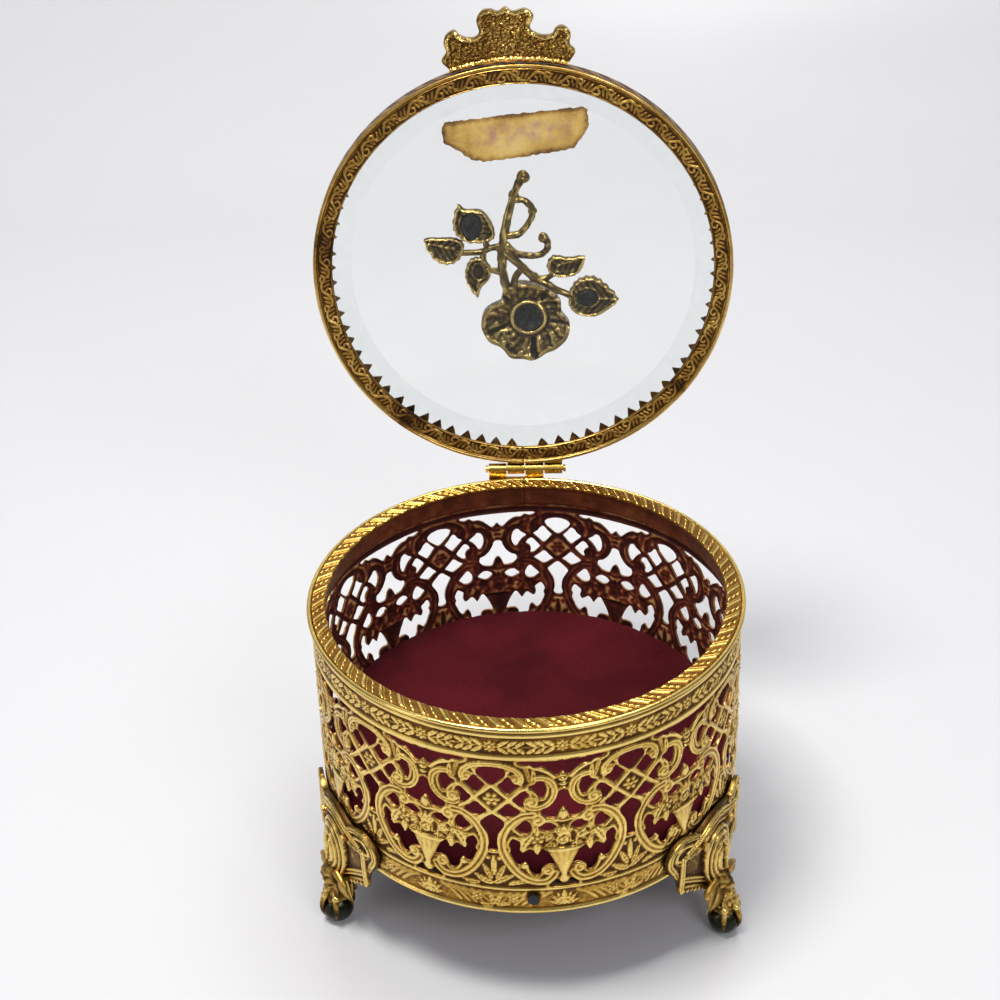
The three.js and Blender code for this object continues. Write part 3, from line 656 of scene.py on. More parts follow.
def bevel_mat():
    m, nt, b = new_mat("lid_glass_bevel")
    vec = coords(nt)
    n1 = noise_tex(nt, vec, 420, 4.0, 0.65)
    nt.links.new(ramp(nt, n1, [(0.3, (0.80, 0.845, 0.84)), (0.7, (0.89, 0.92, 0.915))]), b.inputs["Base Color"])
    r = node(nt, "ShaderNodeMapRange")
    r.inputs["To Min"].default_value, r.inputs["To Max"].default_value = 0.01, 0.07
    nt.links.new(n1, r.inputs["Value"])
    nt.links.new(r.outputs["Result"], b.inputs["Roughness"])
    b.inputs["IOR"].default_value = 1.5
    b.inputs["Transmission Weight"].default_value = 1.0
    return m


def label_mat():
    m, nt, b = new_mat("label_aged")
    vec = coords(nt)
    n1, n2, n3 = noise_tex(nt, vec, 120, 5.0, 0.6), noise_tex(nt, vec, 1300, 3.0, 0.6), noise_tex(nt, vec, 330, 2.0, 0.5, 0.0)
    at = node(nt, "ShaderNodeAttribute", attribute_name="cav")
    sm = node(nt, "ShaderNodeAttribute", attribute_name="smudge")
    f = math_node(nt, "ADD", math_node(nt, "MULTIPLY", n1, 1.25), math_node(nt, "SUBTRACT", math_node(nt, "MULTIPLY", n2, 0.3), 0.42))
    f = math_node(nt, "ADD", f, math_node(nt, "MULTIPLY", at.outputs["Fac"], 0.45), clamp=True)
    col = ramp(nt, f, [(0.22, (0.10, 0.045, 0.012)), (0.42, (0.25, 0.13, 0.03)), (0.6, (0.44, 0.27, 0.06)), (0.8, (0.58, 0.38, 0.10)), (1.0, (0.66, 0.48, 0.17))])
    g = math_node(nt, "MULTIPLY", sm.outputs["Fac"], math_node(nt, "MULTIPLY", math_node(nt, "SUBTRACT", n3, 0.38), 2.2, clamp=True), clamp=True)
    mx = node(nt, "ShaderNodeMix", data_type="RGBA")
    nt.links.new(g, mx.inputs["Factor"])
    nt.links.new(col, mx.inputs["A"])
    mx.inputs["B"].default_value = (0.30, 0.13, 0.19, 1)
    nt.links.new(mx.outputs["Result"], b.inputs["Base Color"])
    b.inputs["Roughness"].default_value = 0.8
    bump(nt, b, n2, 0.3, 0.0001)
    return m


def cement_mat():
    m, nt, b = new_mat("grey_cement")
    vec = coords(nt)
    n1, n2 = noise_tex(nt, vec, 300, 5.0, 0.7), noise_tex(nt, vec, 1700, 3.0, 0.6)
    nt.links.new(ramp(nt, math_node(nt, "ADD", math_node(nt, "MULTIPLY", n1, 0.6), math_node(nt, "MULTIPLY", n2, 0.4)), [(0.34, (0.004, 0.004, 0.003)), (0.5, (0.017, 0.016, 0.012)), (0.62, (0.06, 0.057, 0.045)), (0.76, (0.19, 0.18, 0.145))]), b.inputs["Base Color"])
    b.inputs["Roughness"].default_value = 0.75
    bump(nt, b, n1, 0.7, 0.0004)
    return m


MAT["board"], MAT["glass"], MAT["bevel"], MAT["label"], MAT["cement"] = board_mat(), glass_mat(), bevel_mat(), label_mat(), cement_mat()


def dress(obj, mat, body=None, replaces=()):
    obj.data.materials.clear()
    obj.data.materials.append(MAT[mat])
    if body:
        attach(obj, body)
    if replaces:
        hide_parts(*replaces)
    return obj


def dress_cad(name, mat):
    for s in frame["nodes"][name].material_slots:
        s.material = MAT[mat]


# ---- pierced wall --------------------------------------------------------------------------------
# One repeat of the pattern: u along the arc from the basket's centre line (1 mm = 1 degree),
# v above the wall's underside. C is the trellis centre line, midway between two baskets.
def wall_motif(nu, nv):
    u = (np.arange(nu) + 0.5) / nu * 36 - 18
    v = np.linspace(0, 59.1, nv)
    X, Y = np.meshgrid(u, v)
    C = 18.0
    holes = []

    def both(pts, c=None):
        if c is None:
            holes.append(pts)
            holes.append(mirrored(pts))
        else:
            for s in (-C, C):
                holes.append([(s + a, b) for a, b in pts])
                holes.append([(s - a, b) for a, b in pts][::-1])

    def centre(pts, trellis=False):
        full = pts + mirrored([p for p in pts if abs(p[0]) > 1e-6])
        if trellis:
            for s in (-C, C):
                holes.append([(s + a, b) for a, b in full])
        else:
            holes.append(full)

    # on the basket's line
    centre([(0, 49.75), (5.5, 49.8), (10.6, 49.85), (11.4, 49.4), (10.9, 48.9), (9.6, 48.4), (8.3, 48.7), (7.0, 47.8), (5.4, 47.9), (4.0, 47.1), (2.7, 45.9), (1.7, 45.0), (0.9, 45.3), (0, 46.3)])
    centre([(0, 40.4), (1.1, 40.0), (1.6, 38.5), (2.6, 36.7), (4.0, 35.4), (5.4, 34.8), (5.7, 33.5), (4.9, 32.2), (3.7, 31.6), (1.9, 31.5), (1.4, 32.6), (0.8, 33.9), (0, 34.6)])
    centre([(0, 9.4), (0.7, 9.6), (1.3, 10.4), (2.0, 11.1), (2.9, 10.3), (3.9, 9.1), (3.5, 8.6), (1.6, 8.5), (0, 8.45)])
    both([(-8.7, 41.7), (-7.1, 42.9), (-6.2, 43.8), (-5.1, 43.5), (-4.5, 42.4), (-4.2, 41), (-4.4, 39.4), (-5.1, 38.0), (-5.9, 38.1), (-6.4, 39.1), (-7.5, 40.6)])
    both([(-12.3, 28.3), (-11.0, 29.8), (-9.8, 31.0), (-8.9, 30.6), (-8.1, 28.9), (-8.2, 27.3), (-9.3, 26.4), (-10.7, 26.6), (-11.4, 27.3)])
    both([(-6.4, 28.3), (-5.2, 29.6), (-4.0, 30.0), (-2.6, 29.5), (-1.9, 28.5), (-2.7, 27.4), (-4.0, 26.9), (-5.3, 27.4)])
    both([(-12.9, 24.9), (-11.7, 24.2), (-10.9, 23.2), (-11.2, 21.5), (-10.7, 20.4), (-9.9, 20.6), (-8.6, 21.5), (-7.7, 20.7), (-6.9, 19.6), (-6.1, 20.7), (-5.3, 21.7), (-4.4, 21.1), (-3.2, 19.0), (-2.4, 17.0), (-2.1, 15.6), (-3.4, 15.9), (-5.0, 15.6), (-5.8, 14.6), (-5.9, 13.2), (-6.7, 12.5), (-7.8, 12.9), (-8.8, 14.3), (-9.1, 16.0), (-10.0, 17.0), (-11.2, 15.9), (-12.2, 16.4), (-13.1, 18.4), (-13.8, 20.3), (-13.5, 21.4), (-13.9, 23.0)])
    # on the trellis line
    centre([(0, 47.95), (1.4, 47.8), (2.9, 47.35), (3.8, 46.3), (3.3, 44.9), (1.9, 43.5), (0.7, 42.4), (0, 42.1)], True)
    both([(1.7, 42.0), (2.9, 43.4), (4.2, 44.9), (5.2, 44.3), (5.9, 43.2), (7.2, 42.3), (6.4, 41.2), (5.2, 40.1), (4.2, 39.2), (3.2, 39.9), (2.3, 41.1)], True)
    both([(5.3, 37.8), (6.3, 39.2), (7.7, 40.6), (8.8, 40.2), (9.5, 38.8), (8.4, 38.0), (8.0, 36.8), (8.3, 35.5), (7.3, 35.4), (6.2, 36.4)], True)
    both([(1.4, 33.6), (2.7, 35.0), (4.1, 36.3), (5.6, 35.2), (7.1, 33.9), (6.5, 32.9), (4.8, 31.9), (3.4, 31.9), (2.3, 32.7)], True)
    centre([(0, 32.6), (1.7, 31.4), (3.1, 29.7), (2.2, 27.7), (1.35, 26.0), (1.05, 23.5), (1.4, 21.4), (0.8, 20.8), (0, 20.7)], True)

    outlines = [loop(h, 5) for h in holes]
    f = np.full(X.shape, 5.0)
    for poly in outlines:
        f = np.minimum(f, poly_sdf(X, Y, poly, 5.0))

    H = np.zeros(X.shape)

    def up(h):
        nonlocal H
        H = np.maximum(H, h)

    # raised wire-like lip along every opening
    q = np.abs(f - 0.42) / 0.52
    pattern = (Y > 8.3) & (Y < 50.3)
    up(np.where(pattern, 0.42 * np.sqrt(np.clip(1 - q * q, 0, 1)), 0))
    # scrolls, each with a groove down its middle
    for s in (1, -1):
        S = lambda pts: [(s * a, b) for a, b in pts]
        up(bar(X, Y, S([(-7.6, 32.9), (-10.2, 32.6), (-12.6, 31.0), (-14.4, 28.6), (-15.6, 25.6), (-15.9, 22.6), (-15.2, 19.4), (-13.8, 16.4), (-12, 13.7), (-9.8, 11.7), (-7.3, 10.6), (-4.9, 10.6), (-3.2, 11.7), (-2.3, 13.2)]), 1.35, 0.78, 0.55))
        up(bar(X, Y, S([(-6.6, 44.7), (-4.4, 44.3), (-2.8, 42.9), (-2.15, 40.6), (-2.5, 38.3), (-3.9, 36.3), (-6.0, 35.2), (-8.2, 35.1), (-9.6, 36.1)]), 1.0, 0.8, 0.5))
        up(bar(X, Y, S([(-18, 48.75), (-15.4, 48.6), (-13.0, 47.8), (-11.2, 46.4), (-10.45, 44.6), (-10.8, 43.2)]), 0.95, 0.78, 0.4))
        up(bar(X, Y, S([(-9.4, 48.3), (-8.9, 46.2), (-8.2, 43.9), (-7.4, 42.9)]), 0.75, 0.5, 0.35))
        up(bar(X, Y, S([(-7.6, 48.0), (-5.6, 47.3), (-3.7, 46.2), (-2.2, 44.6)]), 0.7, 0.55))
        up(bar(X, Y, S([(-14.9, 31.6), (-15.8, 32.6)]), 0.8, 0.55))
        # thin bars of the trellis
        for c in (-18, 18):
            for pts in ([(0, 42), (4.4, 46.6)], [(0, 42), (4.4, 37.8), (8.3, 34.2)], [(0, 33.4), (4.3, 37.6), (8.2, 41.2)], [(0, 33.4), (3.3, 31.2)]):
                for g in (1, -1):
                    up(bar(X, Y, [(c + g * a, b) for a, b in pts], 0.6, 0.62, n=2))
            up(rosette(X, Y, c, 37.6, 2.35, 0.75, 6, 0))
            up(dome(X, Y, c, 42.0, 0.85, 0.72))
            up(dome(X, Y, c, 33.4, 0.8, 0.68))
            for g in (1, -1):
                up(dome(X, Y, c + g * 4.3, 37.6, 0.8, 0.7))
                up(dome(X, Y, c + g * 8.6, 41.3, 0.9, 0.72))
        # curled ends
        for vu, vv, vr in ((-7.9, 36.9, 1.85), (-11.9, 44.2, 1.75), (-6.5, 30.9, 2.2), (-4.2, 14.1, 1.8)):
            q = np.hypot(X - s * vu, Y - vv) / vr
            turn_ = np.arctan2(Y - vv, s * (X - s * vu))
            up(np.where(q < 1, 0.62 * np.clip(1 - q**4, 0, 1) ** 0.5 + 0.16 * np.cos(2 * np.pi * (1.35 * q) - turn_) * (q > 0.12), 0))
        up(dome(X, Y, s * -10.0, 16.0, 0.95, 0.8, 1.3, -20 * s))
        up(dome(X, Y, s * -13.5, 20.9, 0.8, 0.6))
        up(dome(X, Y, s * -8.4, 48.5, 0.9, 0.6))
        up(dome(X, Y, s * -14.2, 45.4, 0.7, 0.7))
        up(leaf(X, Y, s * -7.3, 43.0, s * -7.4, 47.6, 0.8, 0.7, 2))
        # leaves beside the baskets, hanging to a point
        up(leaf(X, Y, s * -8.0, 26.4, s * -10.7, 20.3, 1.55, 0.95, 5, -0.7 * s))
        up(leaf(X, Y, s * -6.6, 23.6, s * -6.9, 19.5, 1.15, 0.9, 4))
        up(leaf(X, Y, s * -9.0, 25.4, s * -13.0, 25.4, 1.0, 0.6, 3, 0.6 * s))
        up(leaf(X, Y, s * -3.0, 23.4, s * -5.2, 21.6, 0.9, 0.7, 3))
        up(leaf(X, Y, s * -6.8, 26.6, s * -7.0, 29.0, 0.9, 0.7, 3))
        # foliage under the ovals
        for c in (-18, 18):
            up(leaf(X, Y, c, 9.6, c + s * 5.4, 12.6, 1.2, 0.7, 5, 0.4))
            up(leaf(X, Y, c + s * 0.6, 11.0, c + s * 3.0, 16.4, 1.0, 0.7, 4))
            up(leaf(X, Y, c + s * 3.6, 9.4, c + s * 9.0, 10.2, 0.9, 0.6, 5, 0.5))
            up(dome(X, Y, c + s * 1.5, 18.2, 0.8, 0.6))
            up(bar(X, Y, [(c + s * 0.2, 20.3), (c + s * 1.6, 20.5)], 0.5, 0.7, n=2))
            up(leaf(X, Y, c, 12.4, c, 19.6, 0.95, 0.8, 6))
    # the small stacked beads above the star and the finial below it
    for vv, rr in ((45.2, 0.85), (43.9, 1.1), (42.4, 1.0), (41.2, 0.75)):
        up(dome(X, Y, 0, vv, rr * 1.15, 0.9, rr * 0.62))
    up(dome(X, Y, 0, 32.6, 1.25, 0.95, 1.9))
    up(bar(X, Y, [(-5.5, 30.4), (-3, 30.9), (0, 30.4), (3, 30.9), (5.5, 30.4)], 0.5, 0.6))
    for a in (-52, -27, 0, 27, 52):
        up(leaf(X, Y, 0.4 * math.sin(rad(a)), 25.6, 3.1 * math.sin(rad(a)), 26.0 + 3.4 * math.cos(rad(a)), 0.9, 0.95, 2))
    # flowers
    up(rosette(X, Y, -6.7, 25.2, 2.35, 1.0, 5, 20, 0.3))
    up(rose(X, Y, -0.1, 24.4, 2.5, 1.1, 30))
    up(rose(X, Y, 4.7, 25.3, 2.1, 1.05, 140))
    up(rose(X, Y, 7.7, 25.3, 1.7, 0.95, 250))
    up(rose(X, Y, -3.6, 24.9, 1.7, 0.95, 80))
    up(rosette(X, Y, 3.0, 22.9, 1.35, 0.85, 5, 0))
    up(rosette(X, Y, -2.3, 22.4, 1.3, 0.85, 5, 40))
    up(rosette(X, Y, 6.6, 23.1, 1.35, 0.85, 5, 10))
    # basket: smooth cone with a rolled lip and a bead under it
    t = np.clip((Y - 12.6) / 8.9, 0, 1)
    half = 0.85 + 4.3 * t**1.15
    inside = np.clip(1 - (X / half) ** 2, 0, 1) ** 0.5 * ((Y > 12.2) & (Y < 21.8))
    flutes = 1 - 0.10 * (0.5 + 0.5 * np.cos(2 * np.pi * X / np.maximum(half, 0.3) * 2.5)) * step(13, 20, Y)
    up(0.95 * inside * flutes)
    up(bar(X, Y, [(-5.0, 21.4), (-2.5, 20.9), (0, 20.75), (2.5, 20.9), (5.0, 21.4)], 0.5, 1.0))
    up(dome(X, Y, 0, 11.2, 1.55, 1.0, 1.5))
    up(dome(X, Y, 0, 12.9, 1.0, 1.0, 0.45))
    # stippled ground between the ribs
    mid = step(0.8, 1.4, f) * pattern
    H = np.where(pattern, np.maximum(H, 0.13 * mid * (0.5 + 0.5 * fbm(X * 1.1, Y * 1.1, 3))), H)

    # base band: acanthus either side of each basket, long flutes running to the trellis line
    def band(lo, hi):
        return step(lo - 0.15, lo + 0.15, Y) * (1 - step(hi - 0.15, hi + 0.15, Y))
    up(0.42 * np.sqrt(np.clip(1 - ((Y - 0.75) / 0.75) ** 2, 0, 1)))
    up(0.55 * np.sqrt(np.clip(1 - ((Y - 7.9) / 0.55) ** 2, 0, 1)))
    for s in (1, -1):
        for k in range(7):
            x0 = 3.6 + 2.05 * k
            up(bar(X, Y, [(s * x0, 6.7 - 0.12 * k), (s * (x0 + 2.6), 5.1), (s * (x0 + 5.2), 2.4)], 0.85, 0.30, taper=(1, 0.5)))
        up(rosette(X, Y, s * 13.2, 4.6, 1.7, 0.62, 6, 30))
        for a in (10, 40, 70, 110):
            up(leaf(X, Y, s * 0.5, 2.2, s * (0.5 + 3.6 * math.cos(rad(a))), 2.2 + 4.3 * math.sin(rad(a)) ** 0.7, 0.62, 0.55, 3))
        up(leaf(X, Y, s * 17.9, 2.0, s * 16.2, 6.9, 0.9, 0.5, 4))
        up(leaf(X, Y, s * 17.6, 2.0, s * 13.6, 2.4, 0.8, 0.5, 4, 0.4))
    up(leaf(X, Y, 0, 1.8, 0, 7.2, 1.0, 0.6, 5))
    H = np.where(band(1.4, 7.4) > 0.5, np.maximum(H, 0.16 * (0.5 + 0.5 * fbm(X * 1.9, Y * 1.9, 11))), H)

    # mouldings and the laurel frieze under the rim
    up(0.6 * np.sqrt(np.clip(1 - ((Y - 50.9) / 0.95) ** 2, 0, 1)))
    up(0.42 * np.sqrt(np.clip(1 - ((Y - 57.6) / 0.62) ** 2, 0, 1)))
    frieze = np.zeros(X.shape)
    for c in (-18, 0, 18):
        frieze = np.maximum(frieze, rosette(X, Y, c, 54.3, 2.0, 0.62, 8, 0))
        for s in (1, -1):
            frieze = np.maximum(frieze, bar(X, Y, [(c + s * 2.0, 54.3), (c + s * 9.2, 54.3)], 0.28, 0.4, n=2))
            for k in (2, 1, 0):
                x0 = c + s * (1.9 + 2.2 * k)
                for g in (1, -1):
                    p0, p1 = (x0, 54.3 + g * 0.25), (x0 + s * 3.0, 54.3 + g * 2.15)
                    frieze = np.where(leaf(X, Y, p0[0] - s * 0.2, p0[1], p1[0] + s * 0.25, p1[1], 1.05, 0.62, 0) > 0.02, 0, frieze)
                    frieze = np.maximum(frieze, leaf(X, Y, *p0, *p1, 0.74, 0.62, 2))
                frieze = np.maximum(frieze, dome(X, Y, x0 + s * 0.3, 54.3, 0.42, 0.5))
    ground = 0.10 * (0.5 + 0.5 * fbm(X * 2.2, Y * 2.2, 23)) * band(52.0, 57.0)
    frieze = np.maximum(frieze, ground)
    return u, v, f, H, frieze, outlines


def build_wall():
    nu, nv = 96, 160
    u, v, f, H, frieze, _ = wall_motif(nu, nv)
    az = (BASKET_0 + 36 * np.arange(REPEATS)[:, None] + u[None, :]).ravel()
    f, H, frieze = (np.tile(q, (1, REPEATS)) for q in (f, H, frieze))
    A, Y = np.meshgrid(az, v)
    a = (A + 180) % 360 - 180
    # hand-worn places in the frieze, broad dents and the finest waviness
    worn = 0.55 * np.exp(-(((a - 14) / 5.0) ** 2)) + 0.35 * np.clip(fbm(A / 17.0, Y / 30.0, 5), 0, 1)
    frieze = frieze * (1 - np.clip(worn, 0, 0.75))
    H = np.maximum(H, frieze)
    cut = 1 - 0.22 * np.clip(fbm(A / 9, Y / 9, 31), 0, 1)
    H = H * cut + 0.035 * fbm(A * 0.9, Y * 0.9, 8)
    # seats of the tacks and the butt seam at the back
    for t in TACK_AZ:
        d = np.hypot((a - t), Y - (TACK_Z - Z_BASE))
        H = np.where(d < 2.6, H * step(1.7, 2.6, d), H)
        f = np.minimum(f, d - 0.95)
    seam = np.exp(-(((((A - 176.25) + 180) % 360 - 180) / 0.42) ** 2))
    H = H - 0.35 * seam
    f = np.where(np.abs(f) < 1e-4, 1e-4, f)
    cell = 36 / nu
    cav = cavity(H, cell, True)
    # the borders keep their plating, so their ground is less brown than the openwork's
    border = 1 - step(8.2, 9.0, Y) * (1 - step(50.2, 50.8, Y))
    cav = np.where(border > 0.5, 0.55 + 1.2 * (cav - 0.5), 0.50 + 1.15 * (cav - 0.5))
    cav = np.clip(cav + 0.10 * step(0.25, 0.7, H) - 0.5 * seam, 0, 1)
    R = WALL_R - 0.35 + H * 0.85 + 0.55 * np.clip(1 - Y / 1.8, 0, 1)
    Z = Z_BASE + Y
    back = R - 0.62 - 0.10 * H
    back = blur(back, 0.9, True)
    back = np.minimum(back, R - 0.45)
    o = shell("wall_band_filigree", f, ring(A, R, Z), ring(A, back, Z), {"cav": (cav, 0.5 + 1.5 * (0.52 - cav) - 0.5 * seam), "inn": (0.0, 1.0)}, wrap=True, max_tris=192000, sharp=62)
    return dress(o, "wall", "box", ["wall_band"])


# ---- box rim: rope-twist flange, polished bead outside, skirt inside ------------------------------
def build_rim():
    n = 1800
    az = np.arange(n) * 360.0 / n
    top = Z_RIM
    prof = []  # (r, z, normal r, normal z, relief weight)
    for r in np.linspace(53.0, 56.75, 24):
        prof.append((r, top - 0.15, 0, 1, 1.0))
    for r in np.linspace(56.8, 56.86, 3):
        prof.append((r, top - 0.40, 0, 1, 0))
    for k in range(12):  # bead
        t = math.pi - k / 11 * math.pi * 1.22
        prof.append((57.42 + 0.64 * math.cos(t), top - 0.60 + 0.64 * math.sin(t), math.cos(t), math.sin(t), 0))
    for z in (88.35, 88.2):
        prof.append((57.05, z, 1, 0, 0))
    for r in (56.4, 55.5):
        prof.append((r, top - 1.1, 0, -1, 0))
    for z in np.linspace(87.9, 82.9, 9):
        prof.append((55.3, z, 1, 0, -1))
    prof.append((55.15, 82.35, 1, -1, 0))
    prof.append((54.45, 82.35, -1, -1, 0))
    for z in np.linspace(82.7, 87.8, 12):
        prof.append((54.25, z, -1, 0, -1))
    for r in (54.1, 53.3):
        prof.append((r, top - 1.1, 0, -1, 0))
    prof.append((52.92, 88.65, -1, 0, 0))
    prof = np.array(prof)
    r, z, nr, nz, wgt = (prof[:, i][:, None] for i in range(5))
    A = np.broadcast_to(az[None, :], (len(prof), n))
    s = (r - 53.0) / 3.75  # 0 inner edge of the flange, 1 its outer edge
    ph = (A / 360 * 55 - 0.58 * s + 0.657) % 1.0
    def ridge(c, w):
        d = np.abs((ph - c + 0.5) % 1 - 0.5) / w
        return np.sqrt(np.clip(1 - d * d, 0, 1))
    rope = np.maximum(0.60 * ridge(0.15, 0.125), 0.38 * ridge(0.355, 0.065))
    for ss, size, cph in ((0.20, 0.62, 0.67), (0.53, 0.58, 0.68), (0.83, 0.52, 0.69)):
        d = np.hypot(((ph - cph + 0.5) % 1 - 0.5) * 6.4, (s - ss) * 3.75) / size
        rope = np.maximum(rope, 0.56 * np.sqrt(np.clip(1 - d * d, 0, 1)))
    edge = step(0.0, 0.06, s) * (1 - step(0.93, 1.0, s))
    relief = np.where(wgt > 0.5, rope * edge, 0) * (0.85 + 0.15 * fbm(A / 7, s * 2, 4))
    # scalloped inner edge
    scallop = np.where((wgt > 0.5) & (s < 0.04), 0.10 * np.cos(2 * np.pi * A / 360 * 55 * 2), 0)
    wave = 0.02 * fbm(A * 0.5, z * 0.7, 9) + np.where(wgt < -0.5, 0.05 * fbm(A * 0.35, z * 0.5, 41), 0)
    RR = r + nr * wave + scallop
    ZZ = z + nz * wave + np.where(wgt > 0.5, relief, 0) * 0.72
    ZZ = np.broadcast_to(ZZ, A.shape) * 1.0
    # butt seam at the back: a fine groove
    g = np.exp(-((((A - 180.9) + 180) % 360 - 180) / 0.28) ** 2)
    RR, ZZ = RR - 0.25 * g * nr, ZZ - 0.3 * g * nz
    cav = np.full(A.shape, 0.66)
    flange = wgt[:, 0] > 0.5
    hh = np.broadcast_to(relief, A.shape)[flange]
    cav[flange] = np.clip(0.37 + 0.7 * (hh - blur(hh, 5, True)) + 0.62 * hh, 0, 1)
    bead = np.zeros(len(prof), bool); bead[27:39] = True
    cav[bead] = 0.92
    cav[24:27] = 0.12
    cav[39:43] = 0.18
    cav[(wgt[:, 0] < -0.5)] = 0.45
    cav = np.clip(cav - 0.35 * g + 0.10 * fbm(A / 3, np.broadcast_to(s, A.shape) * 4, 77), 0, 1)
    inn = np.zeros(A.shape)
    inn[(wgt[:, 0] < -0.5)] = 0.85
    inn[43:] = np.maximum(inn[43:], 0.5)
    P = ring(A, RR, ZZ)
    o = ring_mesh("rim_ring_rope", P, {"cav": cav, "inn": inn}, sharp=70, max_tris=190000)
    outward(o)
    return dress(o, "rim", "box", ["rim_ring"])


# ---- velvet pad and paper under the board ----------------------------------------------------------
def lathe_relief(name, prof, n, fn):
    """Solid turned about the axis from (r, z) points that start and end on it; fn(az, r, z) moves z."""
    prof = np.array(prof, float)
    az = np.arange(n) * 360.0 / n
    body = prof[1:-1]
    A, R = np.meshgrid(az, body[:, 0])
    Z = np.broadcast_to(body[:, 1][:, None], A.shape)
    R2, Z2 = fn(A, R, Z)
    V = np.vstack([ring(A, R2, Z2).reshape(-1, 3), [[0, 0, prof[0, 1]]], [[0, 0, prof[-1, 1]]]])
    m = len(body)
    idx = np.arange(m * n).reshape(m, n)
    nx = np.roll(idx, -1, 1)
    Q = np.stack([idx[:-1].ravel(), nx[:-1].ravel(), nx[1:].ravel(), idx[1:].ravel()], 1)
    t0 = np.stack([nx[0], idx[0], np.full(n, m * n)], 1)
    t1 = np.stack([idx[-1], nx[-1], np.full(n, m * n + 1)], 1)
    o = to_mesh(name, V, [Q, t0, t1], {}, None)
    return outward(o)


def build_pad():
    prof = [(0, 37.35)] + [(r, 37.35) for r in np.linspace(4, 54.2, 8)] + [(55.0, 38.0), (55.35, 39.2), (55.4, 41.0), (55.35, 42.6), (55.1, 43.7), (54.6, 44.4)]
    prof += [(r, 44.4 + 1.15 * (1 - (r / 54.6) ** 4)) for r in np.linspace(53.8, 1.0, 56)] + [(0, 45.55)]

    def fn(A, R, Z):
        top = step(43.0, 44.4, Z)
        x, y = R * np.sin(np.radians(A)), -R * np.cos(np.radians(A))
        dz = 0.22 * fbm(x / 17, y / 17, 2) + 0.06 * fbm(x / 3.2, y / 3.2, 6)
        # tucked edge: shallow gathers where the cloth goes down the side
        tuck = 0.16 * np.exp(-(((R - 53.2) / 1.6) ** 2)) * np.cos(np.radians(A) * 64 + 1.5 * noise(A / 9, 0 * A, 3))
        edge = -0.55 * np.exp(-(((R - 54.9) / 0.9) ** 2))
        Rr = R + np.where(Z < 44.3, 0.06 * np.cos(np.radians(A) * 64) * step(38, 41, Z), 0)
        return Rr, Z + top * (dz + tuck + edge * 0.4)

    o = lathe_relief("floor_pad_velvet", prof, 360, fn)
    dress(o, "velvet", "box", ["floor_pad"])
    return o


def build_under():
    prof = [(0, 30.65), (20, 30.65), (54.4, 30.65), (54.95, 30.45), (55.1, 30.1), (54.95, 29.8), (54.4, 29.62)]
    prof += [(r, 29.55 - 0.28 * (1 - (r / 54.0) ** 2)) for r in np.linspace(53.4, 1.0, 40)] + [(0, 29.27)]

    def fn(A, R, Z):
        x, y = R * np.sin(np.radians(A)), -R * np.cos(np.radians(A))
        low = 1 - step(29.6, 30.2, Z)
        return R, Z + low * (0.10 * fbm(x / 9, y / 9, 12) + 0.04 * fbm(x / 2.5, y / 2.5, 14))

    o = lathe_relief("under_cover_paper", prof, 240, fn)
    return dress(o, "under", "box", ["under_cover"])


